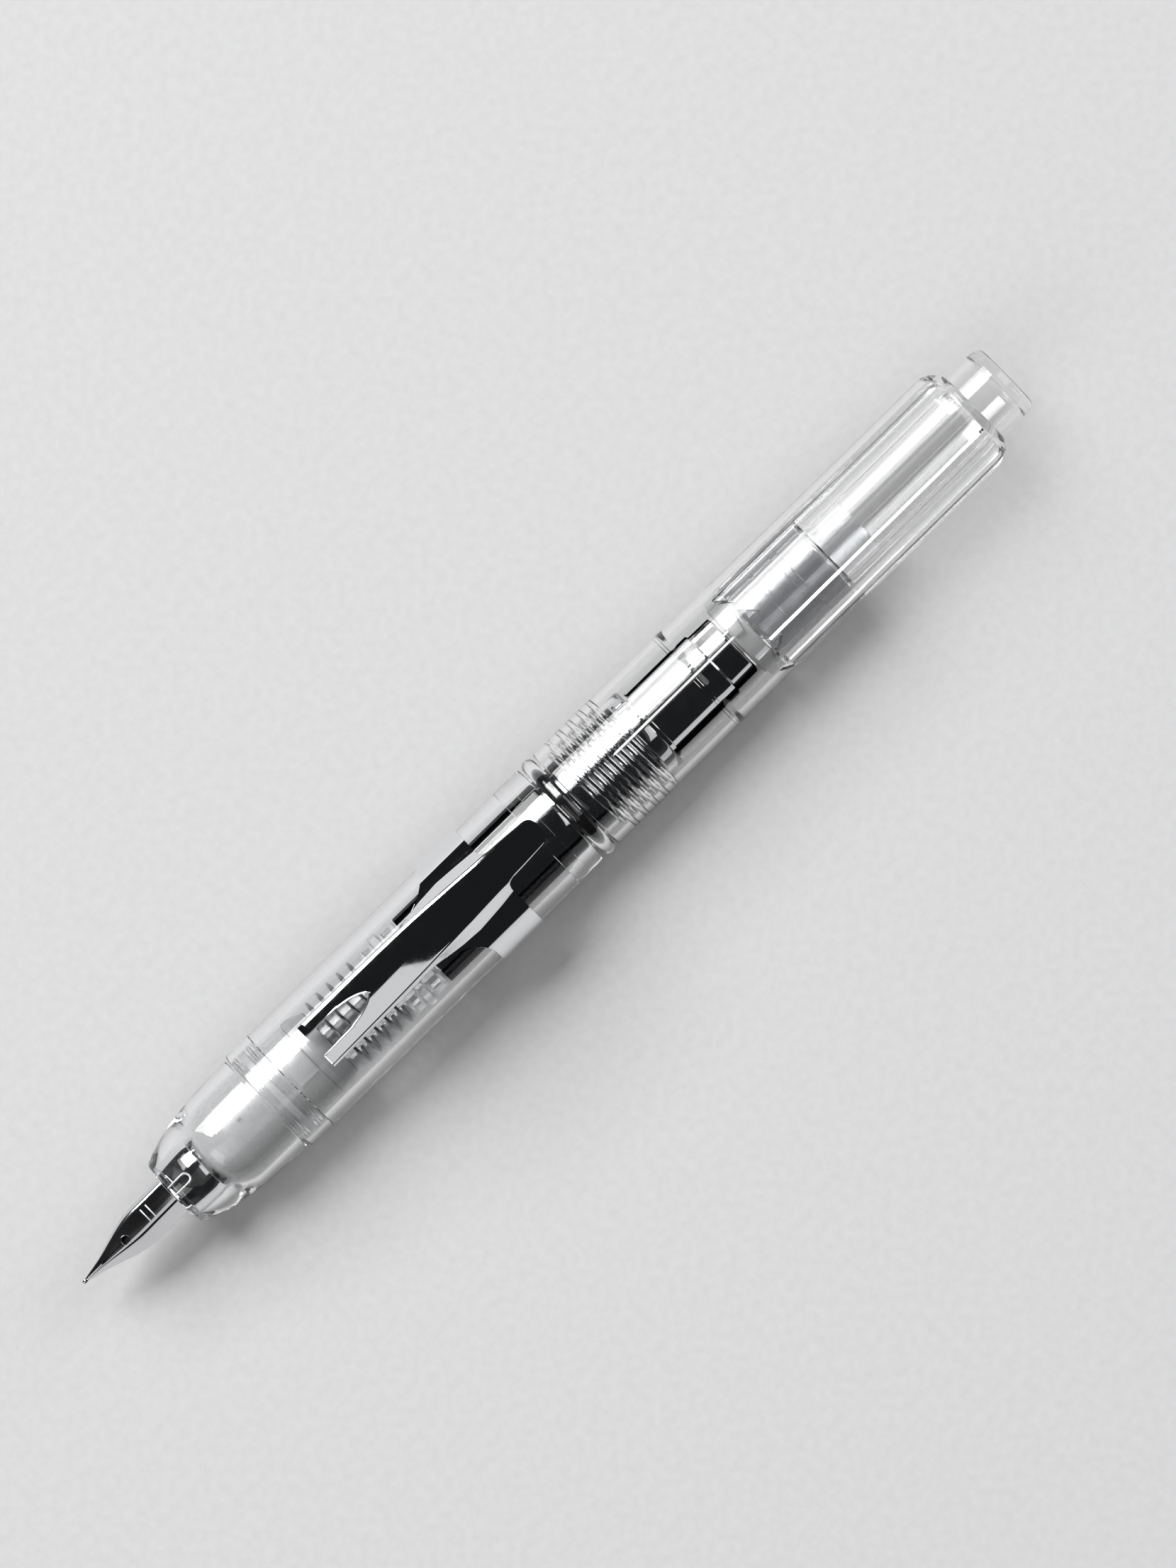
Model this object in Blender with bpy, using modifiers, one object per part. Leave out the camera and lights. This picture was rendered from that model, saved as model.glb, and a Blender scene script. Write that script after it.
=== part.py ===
"""Retractable fountain pen with a clear two-part barrel, modelled as an assembly.

Frame: the pen lies along X, nib towards -X, push button towards +X, clip up (+Z).
The origin is on the table under the middle of the pen. Lengths below are in millimetres.
"""

import math

import bmesh
import bpy
from mathutils import Matrix, Vector

MM = 0.001

# ---- driving dimensions (mm) ------------------------------------------------
AXIS_Z = 7.15            # height of the pen's axis over the table
SIDES = 24               # facets of a turned part
TIP_X = -73.3            # writing point
TAIL_X = 73.3            # end of the push button, nib out
BARREL_R = 7.0           # front barrel
REAR_R = 6.7             # rear barrel near its end
WALL_BORE_R = 5.6        # front barrel bore
NOSE_FRONT_X = -58.7
NOSE_JOINT_X = -44.15
RING_X0, RING_X1, RING_R = 2.9, 4.6, 7.15
SPIGOT_END_X = 16.7
REAR_X0, REAR_X1 = 4.9, 68.1
PITCH = 1.6              # barrel thread, right-hand
THREAD_TURNS = 5.0
THREAD_X0 = 6.0
MALE_ROOT_R, MALE_CREST_R = 5.55, 5.95
FEMALE_CREST_R, FEMALE_ROOT_R = 5.72, 6.15
TUBE_R, TAIL_TUBE_R = 4.6, 4.1
BUTTON_R = 4.65
NIB_HALF_W = 2.45
RIB_COUNT = 6
RIB_PHASE = math.radians(20.5)
CLIP_IN_R, CLIP_T = 7.22, 0.26
SPRING_R, SPRING_WIRE_R = 4.75, 0.22
SPRING_X0, SPRING_X1, SPRING_TURNS = -33.55, -25.35, 5

for old in list(bpy.data.objects):
    bpy.data.objects.remove(old, do_unlink=True)

PARTS = bpy.data.collections.new("fountain_pen")
CUTTERS = bpy.data.collections.new("cutters")
for group in (PARTS, CUTTERS):
    bpy.context.scene.collection.children.link(group)


def material(name, color, rough, metal=0.0, clear=0.0):
    mat = bpy.data.materials.new(name)
    mat.use_nodes = True
    shader = mat.node_tree.nodes["Principled BSDF"]
    shader.inputs["Base Color"].default_value = (*color, 1.0)
    shader.inputs["Roughness"].default_value = rough
    shader.inputs["Metallic"].default_value = metal
    shader.inputs["Transmission Weight"].default_value = clear
    shader.inputs["IOR"].default_value = 1.49
    return mat


CLEAR = material("clear_resin", (0.95, 0.96, 0.97), 0.04, clear=1.0)
MILKY = material("milky_resin", (0.86, 0.87, 0.88), 0.45, clear=0.5)
SMOKE = material("smoke_resin", (0.25, 0.27, 0.30), 0.2, clear=0.6)
GREY = material("grey_resin", (0.42, 0.43, 0.45), 0.4)
BLACK = material("black_resin", (0.02, 0.02, 0.022), 0.35)
CHROME = material("chrome", (0.83, 0.84, 0.86), 0.06, metal=1.0)
STEEL = material("nib_steel", (0.62, 0.63, 0.65), 0.16, metal=1.0)
SPRING_STEEL = material("spring_steel", (0.55, 0.56, 0.58), 0.25, metal=1.0)
RUBBER = material("seal_rubber", (0.10, 0.10, 0.11), 0.7)


def put(name, mesh, mat, group=PARTS, location=(0.0, 0.0, 0.0)):
    obj = bpy.data.objects.new(name, mesh)
    obj.location = [c * MM for c in location]
    group.objects.link(obj)
    if mat:
        mesh.materials.append(mat)
    if group is CUTTERS:
        obj.hide_render = True
        obj.display_type = "WIRE"
    return obj


def smooth(mesh, angle=35.0):
    mesh.shade_smooth()
    mesh.set_sharp_from_angle(angle=math.radians(angle))


def from_bmesh(bm, name):
    mesh = bpy.data.meshes.new(name)
    bmesh.ops.recalc_face_normals(bm, faces=bm.faces)
    bm.to_mesh(mesh)
    bm.free()
    return mesh


def turned(name, profile, mat, origin_x=0.0, closed=True, sides=SIDES, group=PARTS):
    """A shape of revolution about the pen's axis. profile is (x, radius) in mm, radii taken
    to the middle of the facets, so one facet lies flat underneath."""
    grow = 1.0 / math.cos(math.pi / sides)
    points = [(r * grow, x - origin_x) for x, r in profile]
    area = sum(
        points[i][0] * points[(i + 1) % len(points)][1]
        - points[(i + 1) % len(points)][0] * points[i][1]
        for i in range(len(points))
    )
    if area > 0:                       # the outer side has to run downwards
        points.reverse()
    if not closed:                     # start and end on the axis
        while not (points[0][0] < 1e-9 and points[-1][0] < 1e-9):
            points.append(points.pop(0))
    mesh = bpy.data.meshes.new(name)
    edges = [(i, i + 1) for i in range(len(points) - 1)]
    if closed:
        edges.append((len(points) - 1, 0))
    mesh.from_pydata([(r * MM, 0.0, z * MM) for r, z in points], edges, [])
    obj = put(name, mesh, mat, group, (origin_x, 0.0, AXIS_Z))
    obj.rotation_mode = "YXZ"
    obj.rotation_euler = (math.pi / sides, math.pi / 2, 0.0)
    screw = obj.modifiers.new("turn", "SCREW")
    screw.axis = "Z"
    screw.angle = 2 * math.pi
    screw.steps = screw.render_steps = sides
    screw.use_merge_vertices = True
    screw.merge_threshold = 0.00001
    screw.use_smooth_shade = True
    return obj


def boolean(obj, cutter, operation="DIFFERENCE"):
    mod = obj.modifiers.new(operation.lower(), "BOOLEAN")
    mod.operation = operation
    mod.solver = "EXACT"
    mod.object = cutter
    return mod


def box(name, low, high, mat=None, group=CUTTERS, turn=0.0, about_x=False):
    """A block between two corners in pen coordinates (z from the axis)."""
    size = [h - l for l, h in zip(low, high)]
    middle = [(h + l) / 2 for l, h in zip(low, high)]
    bm = bmesh.new()
    bmesh.ops.create_cube(bm, size=1.0)
    bmesh.ops.scale(bm, vec=[s * MM for s in size], verts=bm.verts)
    bmesh.ops.translate(bm, vec=[m * MM for m in middle], verts=bm.verts)
    obj = put(name, from_bmesh(bm, name), mat, group, (0.0, 0.0, AXIS_Z))
    obj.rotation_euler = (turn, 0.0, 0.0)
    return obj


def rod(name, centre, radius, length, axis, mat=None, group=CUTTERS, sides=16):
    """A cylinder along X, Y or Z, centred on a point in pen coordinates (z from the axis)."""
    bm = bmesh.new()
    bmesh.ops.create_cone(
        bm, cap_ends=True, cap_tris=False, segments=sides,
        radius1=radius * MM, radius2=radius * MM, depth=length * MM,
    )
    if axis == "X":
        bmesh.ops.rotate(bm, cent=(0, 0, 0), matrix=Matrix.Rotation(math.pi / 2, 3, "Y"), verts=bm.verts)
    elif axis == "Y":
        bmesh.ops.rotate(bm, cent=(0, 0, 0), matrix=Matrix.Rotation(math.pi / 2, 3, "X"), verts=bm.verts)
    mesh = from_bmesh(bm, name)
    return put(name, mesh, mat, group, (centre[0], centre[1], centre[2] + AXIS_Z))


def loft(sections, mesh_name, wrap=True):
    """Skin a list of equal-length closed sections and cap both ends."""
    bm = bmesh.new()
    rings = [[bm.verts.new([c * MM for c in p]) for p in s] for s in sections]
    count = len(rings[0])
    for a, b in zip(rings, rings[1:]):
        for i in range(count if wrap else count - 1):
            j = (i + 1) % count
            bm.faces.new((a[i], a[j], b[j], b[i]))
    if wrap:
        bm.faces.new(rings[0])
        bm.faces.new(list(reversed(rings[-1])))
    return from_bmesh(bm, mesh_name)


def between(table, x):
    """Straight-line reading of a small table of (x, value)."""
    if x <= table[0][0]:
        return table[0][1]
    for (x0, v0), (x1, v1) in zip(table, table[1:]):
        if x <= x1:
            return v0 + (v1 - v0) * (x - x0) / (x1 - x0)
    return table[-1][1]


# ---- front half: nose, seal chamber, barrel ----------------------------------
turned("nose_cone", [
    (NOSE_FRONT_X, 4.3), (-58.45, 4.55), (-57.3, 5.02), (-55.5, 5.6), (-53.6, 6.0), (-51.5, 6.3),
    (-49.8, 6.47), (-47.5, 6.6), (NOSE_JOINT_X, 6.65), (NOSE_JOINT_X, 5.95), (-42.9, 5.95), (-42.9, 5.7),
    (-41.7, 5.7), (-41.7, 5.95), (-40.6, 5.95),
    (-40.6, 5.4), (-51.4, 5.4), (-51.4, 4.78), (-54.15, 4.78), (-54.15, 3.9),
    (NOSE_FRONT_X, 3.9),
], CLEAR, origin_x=-51.6)

turned("mouth_ring", [(-58.9, 3.6), (-58.8, 3.7), (-57.95, 3.7), (-57.95, 3.05), (-58.9, 3.05)], CHROME, origin_x=-58.4)

tunnel = turned("nib_tunnel", [(-57.7, 3.62), (-54.0, 3.62), (-54.0, 3.12), (-57.7, 3.12)], CHROME, origin_x=-55.7)
boolean(tunnel, box("slot_block", (-58.2, -0.4, 2.4), (-56.3, 0.4, 4.4)))
boolean(tunnel, rod("slot_end", (-56.3, 0.0, 3.4), 0.4, 2.0, "Z"))

turned("seal_chamber", [
    (-53.75, 3.05), (-53.2, 3.5), (-52.3, 4.09), (-51.6, 4.42), (-50.5, 4.83), (-49.4, 5.1), (-37.2, 5.1),
    (-37.2, 4.6), (-49.3, 4.6), (-50.4, 4.35), (-51.4, 3.95), (-52.2, 3.55), (-52.9, 3.05),
], MILKY, origin_x=-45.0)

turned("seal_gasket", [(-39.8, 4.1), (-39.5, 4.4), (-37.7, 4.4), (-37.4, 4.1), (-37.4, 3.1), (-39.8, 3.1)], RUBBER, origin_x=-38.6)

turned("nose_oring", [(-42.7, 6.0), (-42.5, 6.1), (-42.1, 6.1), (-41.9, 6.0), (-41.9, 5.85), (-42.7, 5.85)], RUBBER, origin_x=-42.3)

turned("spring_seat", [(-36.9, 5.25), (-36.1, 5.25), (-34.1, 4.5), (-34.1, 3.3), (-36.9, 3.3)], GREY, origin_x=-35.5)

HELIX_SIDES = SIDES


def helix_ridge(name, base_r, crest_r, x_start, turns, base_half, crest_half):
    """A single-start right-hand ridge whose ends run out to nothing."""
    grow = 1.0 / math.cos(math.pi / SIDES)
    steps = int(round(turns * HELIX_SIDES))
    fade = HELIX_SIDES // 3
    sections = []
    for k in range(steps + 1):
        angle = 2 * math.pi * k / HELIX_SIDES + math.pi / SIDES
        x = x_start + PITCH * k / HELIX_SIDES
        show = min(1.0, max(0.12, min(k, steps - k) / fade))
        top = base_r + (crest_r - base_r) * show
        half_top = base_half + (crest_half - base_half) * show
        ring = []
        for r, dx in ((base_r, -base_half), (top, -half_top), (top, half_top), (base_r, base_half)):
            r *= grow
            # local axes of a turned part: radius starts straight down
            ring.append((x + dx, r * math.sin(angle), -r * math.cos(angle)))
        sections.append(ring)
    mesh = loft(sections, name)
    return put(name, mesh, None, CUTTERS, (0.0, 0.0, AXIS_Z))


barrel = turned("front_barrel", [
    (-43.85, 6.8), (-43.65, BARREL_R), (2.4, BARREL_R), (2.6, 6.85), (2.6, MALE_ROOT_R),
    (SPIGOT_END_X - 0.3, MALE_ROOT_R), (SPIGOT_END_X, 5.35),
    (SPIGOT_END_X, 5.0), (-1.2, 5.0), (-1.2, WALL_BORE_R), (-40.3, WALL_BORE_R),
    (-40.3, 6.25), (-43.85, 6.25),
], CLEAR)
boolean(barrel, helix_ridge("male_ridge", MALE_ROOT_R - 0.12, MALE_CREST_R, THREAD_X0,
                            THREAD_TURNS, 0.44, 0.17), "UNION")

# ---- clip: a sprung sheet in two pieces, the band on the barrel and the arm ----
BAND_ANGLE = math.radians(110.0)
HINGE_X = -13.7
CLIP_ROWS = 20

# half width of the sheet, measured round its own arc (mm)
TONGUE = [(-7.3, 2.0), (-4.0, 1.9), (-1.6, 1.5), (-0.6, 0.95), (-0.1, 0.3)]
ARM = [(-35.5, 2.95), (-30.0, 2.9), (-22.0, 2.8), (-18.2, 2.95), (-16.8, 3.2), (-15.4, 3.7), (-14.6, 4.25), (-13.9, 4.95)]
# inner radius of the sheet above the axis (mm): the arm bows up and touches down near its end
LIFT = [(-35.5, 8.1), (-35.0, 7.75), (-34.3, 7.5), (-33.5, 7.45), (-32.5, 7.6), (-30.0, 8.2),
        (-26.0, 8.75), (-22.0, 8.75), (-19.0, 8.2), (-16.8, 7.55), (-15.2, 7.3), (-13.9, CLIP_IN_R)]


def sheet_sections(stations, half_of, inner_of, count=CLIP_ROWS):
    """Closed sections of a curved sheet: outer arc one way, inner arc back."""
    out = []
    for x in stations:
        inner = inner_of(x)
        outer = inner + CLIP_T
        half = half_of(x)
        top, bottom = [], []
        for i in range(count + 1):
            a = half * (2 * i / count - 1)
            top.append((x, outer * math.sin(a), outer * math.cos(a)))
            bottom.append((x, inner * math.sin(a), inner * math.cos(a)))
        out.append(top + bottom[::-1])
    return out


def clip_inner(x):
    return between(LIFT, x)


def prism(name, outline, z0, z1):
    """A cutter: an outline in plan, extruded upwards (pen coordinates, z from the axis)."""
    bm = bmesh.new()
    face = bm.faces.new([bm.verts.new((x * MM, y * MM, z0 * MM)) for x, y in outline])
    raised = bmesh.ops.extrude_face_region(bm, geom=[face])
    bmesh.ops.translate(bm, vec=(0.0, 0.0, (z1 - z0) * MM),
                        verts=[v for v in raised["geom"] if isinstance(v, bmesh.types.BMVert)])
    return put(name, from_bmesh(bm, name), None, CUTTERS, (0.0, 0.0, AXIS_Z))


band_mesh = loft(sheet_sections([-13.5, -0.1], lambda x: BAND_ANGLE, lambda x: CLIP_IN_R, 24), "clip_band")
smooth(band_mesh)
band = put("clip_band", band_mesh, CHROME, location=(0.0, 0.0, AXIS_Z))
for side in (-1, 1):                             # leave only the tongue behind the band
    flank = [(x, side * w) for x, w in TONGUE] + [(0.5, 0.0), (1.0, 0.0), (1.0, side * 9.0), (TONGUE[0][0], side * 9.0)]
    boolean(band, prism(f"tongue_flank_{side + 1}", flank, -9.0, 9.0))

arm_stations = [x for x, _ in LIFT[:-3]] + [-16.8, -15.6, -14.7, -13.9]
arm_mesh = loft(sheet_sections(
    [x - HINGE_X for x in arm_stations],
    lambda x: between(ARM, x + HINGE_X) / CLIP_IN_R,
    lambda x: clip_inner(x + HINGE_X), 12), "clip_arm")
for v in arm_mesh.vertices:                      # origin on the hinge line, at the sheet
    v.co.z -= CLIP_IN_R * MM
smooth(arm_mesh)
arm = put("clip_arm", arm_mesh, CHROME, location=(HINGE_X, 0.0, AXIS_Z + CLIP_IN_R))
boolean(arm, box("fork_block", (-37.0, -1.36, 6.5), (-28.26, 1.36, 9.6)))
boolean(arm, rod("fork_end", (-28.26, 0.0, 8.1), 1.36, 3.2, "Z", sides=20))

# ---- nib carriage ------------------------------------------------------------
# outline of the nib seen from above, and the height of its crown and of its edges
NIB_W = [(-72.45, 0.30), (-71.4, 0.55), (-70.1, 0.80), (-67.7, 1.56), (-65.8, 2.12), (-64.9, 2.38),
         (-63.5, NIB_HALF_W), (-49.6, NIB_HALF_W)]
NIB_TOP = [(-72.45, 0.42), (-70.1, 0.85), (-67.7, 1.28), (-65.0, 1.72), (-61.5, 2.15), (-58.5, 2.42), (-49.6, 2.42)]
NIB_EDGE = [(-72.45, 0.22), (-67.7, 0.28), (-64.0, 0.12), (-60.0, 0.02), (-49.6, 0.02)]
NIB_T = 0.24
NIB_ROWS = 12


def nib_section(x, half, top, edge, thick):
    outer, inner = [], []
    for i in range(NIB_ROWS + 1):
        a = math.pi * i / NIB_ROWS
        outer.append((x, -half * math.cos(a), edge + (top - edge) * math.sin(a)))
        inner.append((x, -(half - thick) * math.cos(a),
                      edge + (top - edge - thick) * max(0.0, math.sin(a))))
    return outer + inner[::-1]


nib_stations = [-72.45, -71.4, -70.1, -68.9, -67.7, -66.5, -65.8, -64.9, -63.5, -61.5, -58.5, -54.0, -49.6]
nib_mesh = loft([nib_section(x, between(NIB_W, x), between(NIB_TOP, x), between(NIB_EDGE, x),
                             min(NIB_T, 0.55 * between(NIB_W, x), 0.8 * (between(NIB_TOP, x) - between(NIB_EDGE, x))))
                 for x in nib_stations], "nib")
smooth(nib_mesh)
nib = put("nib", nib_mesh, STEEL, location=(0.0, 0.0, AXIS_Z))
boolean(nib, box("slit_block", (-73.0, -0.06, -0.5), (-66.4, 0.06, 3.5)))
boolean(nib, rod("breather", (-66.3, 0.0, 1.6), 0.5, 3.0, "Z", sides=14))

bm = bmesh.new()
bmesh.ops.create_uvsphere(bm, u_segments=12, v_segments=8, radius=0.38 * MM)
pellet_mesh = from_bmesh(bm, "nib_pellet")
smooth(pellet_mesh, 60)
put("nib_pellet", pellet_mesh, STEEL, location=(TIP_X + 0.38, 0.0, AXIS_Z + 0.30))

# the feed fills the nib from below; its belly tapers up to the point
FEED_DEPTH = [(-70.4, 0.15), (-68.0, 0.85), (-64.5, 1.55), (-60.5, 2.2), (-57.5, 2.4), (-46.0, 2.4)]


def feed_section(x):
    half = between(NIB_W, x) - NIB_T - 0.22
    top = between(NIB_TOP, x) - NIB_T - 0.22
    depth = between(FEED_DEPTH, x)
    belly = min(between(NIB_W, x) - 0.1, 2.4) if x > -64.0 else half
    ring = []
    for i in range(9):                      # under the nib
        a = math.pi * i / 8
        ring.append((x, -half * math.cos(a), max(0.04, top * math.sin(a)) - 0.12))
    for i in range(1, 8):                   # belly
        a = math.pi * i / 8
        ring.append((x, belly * math.cos(a), -0.22 - (depth - 0.22) * math.sin(a) if depth > 0.3 else -0.22 - 0.05 * math.sin(a)))
    return ring


feed_mesh = loft([feed_section(x) for x in (-70.2, -68.0, -66.0, -64.6, -63.4, -60.5, -57.5, -52.0, -48.9)], "feed")
smooth(feed_mesh)
put("feed", feed_mesh, BLACK, location=(0.0, 0.0, AXIS_Z))

turned("nib_holder", [
    (-55.0, 2.75), (-54.9, 2.88), (-20.2, 2.88), (-20.2, 1.1), (-48.5, 1.1), (-48.5, 2.62), (-55.0, 2.62),
], SMOKE, origin_x=-37.0)

turned("carriage_collar", [
    (-24.9, 4.8), (-23.2, 4.8), (-23.05, 5.3), (-22.1, 5.3), (-21.95, 4.8), (-19.8, 4.8),
    (-19.8, 3.15), (-24.9, 3.15),
], CLEAR, origin_x=-22.5)

turned("piercing_tube", [(-23.0, 0.85), (-16.6, 0.85), (-15.8, 0.55), (-15.8, 0.35), (-23.0, 0.35)], GREY, origin_x=-19.0, sides=16)

turned("inner_tube", [
    (-19.5, 4.5), (-19.4, TUBE_R), (14.6, TUBE_R), (14.7, 4.5), (14.7, 3.8), (-19.5, 3.8),
], CHROME, origin_x=-2.4)

tail = turned("tube_tail", [
    (15.0, 4.45), (17.2, 4.45), (17.2, TAIL_TUBE_R), (26.6, TAIL_TUBE_R), (26.8, 3.65), (29.8, 3.65), (30.0, 3.4),
    (30.0, 1.5), (28.6, 1.5), (28.6, 2.9), (26.4, 2.9), (26.2, 3.75), (15.0, 3.75),
], CHROME, origin_x=22.0)
for k in range(2):                        # bayonet lugs
    lug = box(f"lug_{k}", (15.2, -1.3, 4.2), (17.0, 1.3, 4.75), turn=math.radians(120 + 180 * k))
    boolean(tail, lug, "UNION")

turned("ink_cartridge", [
    (-17.2, 2.3), (-15.0, 2.3), (-14.2, 3.5), (23.5, 3.5), (24.6, 2.6), (24.6, 0.5), (23.7, 0.5), (23.2, 3.1),
    (-13.8, 3.1), (-14.4, 1.9), (-16.6, 1.9), (-16.6, 1.05), (-17.2, 1.05),
], MILKY, origin_x=4.0, sides=SIDES)

# ---- return spring -----------------------------------------------------------
curve = bpy.data.curves.new("return_spring_path", "CURVE")
curve.dimensions = "3D"
curve.bevel_depth = SPRING_WIRE_R * MM
curve.bevel_resolution = 1
curve.use_fill_caps = True
per_turn = 14
total = int(per_turn * SPRING_TURNS)
line = curve.splines.new("POLY")
line.points.add(total)
for k in range(total + 1):
    a = 2 * math.pi * k / per_turn
    x = SPRING_X0 + (SPRING_X1 - SPRING_X0) * k / total
    line.points[k].co = (x * MM, SPRING_R * math.sin(a) * MM, -SPRING_R * math.cos(a) * MM, 1.0)
wire = bpy.data.objects.new("return_spring", curve)
wire.location = (0.0, 0.0, AXIS_Z * MM)
PARTS.objects.link(wire)
curve.materials.append(SPRING_STEEL)

# ---- shutter behind the mouth, folded open under the feed ----------------------
LID_X, LID_Z = -50.2, -3.6
lid_sections = []
for x in (-49.75, -46.6, -43.8):
    half = math.radians(36 if x > -49 else 20)
    if x > -45:
        half = math.radians(22)
    top, bottom = [], []
    for i in range(9):
        a = half * (i / 4 - 1)
        top.append((x - LID_X, 3.58 * math.sin(a), -3.58 * math.cos(a) - LID_Z))
        bottom.append((x - LID_X, 4.02 * math.sin(a), -4.02 * math.cos(a) - LID_Z))
    lid_sections.append(top + bottom[::-1])
lid = put("shutter_lid", loft(lid_sections, "shutter_lid"), GREY, location=(LID_X, 0.0, AXIS_Z + LID_Z))
boolean(lid, rod("lid_knuckle", (LID_X, 0.0, LID_Z), 0.58, 1.6, "Y"), "UNION")
boolean(lid, rod("lid_bore", (LID_X, 0.0, LID_Z), 0.40, 4.0, "Y"))
rod("shutter_pin", (LID_X, 0.0, LID_Z), 0.28, 2.5, "Y", STEEL, PARTS, sides=12)

# ---- rear half ---------------------------------------------------------------
turned("centre_ring", [
    (RING_X0, 6.9), (RING_X0 + 0.3, RING_R), (RING_X1 - 0.3, RING_R), (RING_X1, 6.9), (RING_X1, 5.8), (RING_X0, 5.8),
], CLEAR, origin_x=3.75)

rear = turned("rear_barrel", [
    (REAR_X0, 6.85), (REAR_X0 + 0.15, BARREL_R), (15.0, 6.97), (50.0, REAR_R), (65.9, REAR_R), (67.1, 6.15),
    (67.8, 5.6), (REAR_X1, 5.2), (REAR_X1, 4.95), (66.9, 4.95), (66.9, 5.9), (18.0, 5.9), (17.6, FEMALE_ROOT_R),
    (REAR_X0, FEMALE_ROOT_R),
], CLEAR)
boolean(rear, helix_ridge("female_ridge", FEMALE_ROOT_R + 0.12, FEMALE_CREST_R, THREAD_X0 + PITCH / 2,
                          THREAD_TURNS, 0.44, 0.17), "UNION")
RIB_X0, RIB_X1, RIB_IN_R, RIB_HALF = 31.6, 67.2, 5.3, 1.03
for k in range(RIB_COUNT):
    bm = bmesh.new()
    bmesh.ops.create_cube(bm, size=1.0)
    for v in bm.verts:
        side, out = v.co.y > 0, v.co.z > 0
        slant = 1.6 if (v.co.x < 0 and side) else 0.0
        v.co = Vector((RIB_X0 + slant if v.co.x < 0 else RIB_X1,
                       RIB_HALF if side else -RIB_HALF,
                       6.15 if out else RIB_IN_R)) * MM
    rib = put(f"rib_{k}", from_bmesh(bm, f"rib_{k}"), None, CUTTERS, (0.0, 0.0, AXIS_Z))
    rib.rotation_euler = (RIB_PHASE + 2 * math.pi * k / RIB_COUNT, 0.0, 0.0)
    boolean(rear, rib, "UNION")

rotor = turned("rotor", [
    (30.3, 4.7), (30.5, 4.9), (32.6, 4.9), (32.6, 3.75), (30.3, 3.75),
], GREY, origin_x=31.5)
for k in range(RIB_COUNT):                # lugs that run in the grooves between the ribs
    lug = box(f"rotor_lug_{k}", (30.6, -1.1, 4.3), (32.3, 1.1, 5.5),
              turn=RIB_PHASE + 2 * math.pi * (k + 0.5) / RIB_COUNT)
    boolean(rotor, lug, "UNION")

sleeve = turned("cam_sleeve", [
    (32.9, 4.9), (39.6, 4.9), (39.6, 4.75), (40.6, 4.75), (40.6, 4.9), (43.8, 4.9), (43.8, 4.35), (32.9, 4.35),
], SMOKE, origin_x=38.3)
for k in range(3):                        # crown of cam notches facing the rotor
    notch = rod(f"notch_{k}", (32.9, 0.0, 0.0), 0.9, 12.0, "Z", sides=4)
    notch.rotation_euler = (RIB_PHASE + 2 * math.pi * (k + 0.5) / 6, 0.0, 0.0)
    boolean(sleeve, notch)

turned("push_core", [(33.2, 3.3), (49.6, 3.3), (49.6, 2.7), (33.2, 2.7)], CLEAR, origin_x=41.4)

turned("knock_button", [
    (40.6, 4.05), (44.1, 4.05), (44.1, BUTTON_R), (72.4, BUTTON_R), (73.0, 4.4), (TAIL_X, 3.9), (TAIL_X, 0.0),
    (71.8, 0.0), (71.8, 3.75), (71.5, 3.85), (44.6, 3.85), (44.4, 3.6), (40.6, 3.6),
], CLEAR, origin_x=58.0, closed=False)
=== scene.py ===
"""Looks of the clear retractable fountain pen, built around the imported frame."""
import math

import bmesh
import bpy
import numpy as np
from mathutils import Matrix, Vector


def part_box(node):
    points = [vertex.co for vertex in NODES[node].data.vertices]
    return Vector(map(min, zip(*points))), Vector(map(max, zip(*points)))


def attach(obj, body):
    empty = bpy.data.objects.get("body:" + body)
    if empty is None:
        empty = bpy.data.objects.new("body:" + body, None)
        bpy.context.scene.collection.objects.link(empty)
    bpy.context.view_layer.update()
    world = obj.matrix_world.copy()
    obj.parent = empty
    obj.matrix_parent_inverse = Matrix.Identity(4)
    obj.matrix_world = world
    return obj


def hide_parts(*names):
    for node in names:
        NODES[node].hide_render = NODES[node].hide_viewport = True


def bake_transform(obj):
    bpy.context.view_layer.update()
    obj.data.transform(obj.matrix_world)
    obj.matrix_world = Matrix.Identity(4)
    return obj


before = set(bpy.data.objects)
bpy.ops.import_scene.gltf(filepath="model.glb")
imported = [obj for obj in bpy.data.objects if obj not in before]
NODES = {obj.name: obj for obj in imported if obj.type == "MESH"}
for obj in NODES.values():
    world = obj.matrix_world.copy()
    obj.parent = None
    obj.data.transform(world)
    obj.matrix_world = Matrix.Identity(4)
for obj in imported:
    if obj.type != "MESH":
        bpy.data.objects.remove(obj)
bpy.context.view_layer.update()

MM = 0.001
_lo, _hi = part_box("front_barrel")
AXIS = (_lo.z + _hi.z) / 2          # height of the pen's axis

# =============================================================================
# materials
# =============================================================================


def nodes_of(name):
    mat = bpy.data.materials.new(name)
    mat.use_nodes = True
    nt = mat.node_tree
    return mat, nt, nt.nodes["Principled BSDF"], nt.nodes["Material Output"]


def add(nt, kind, **values):
    node = nt.nodes.new(kind)
    for key, value in values.items():
        setattr(node, key, value)
    return node


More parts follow.
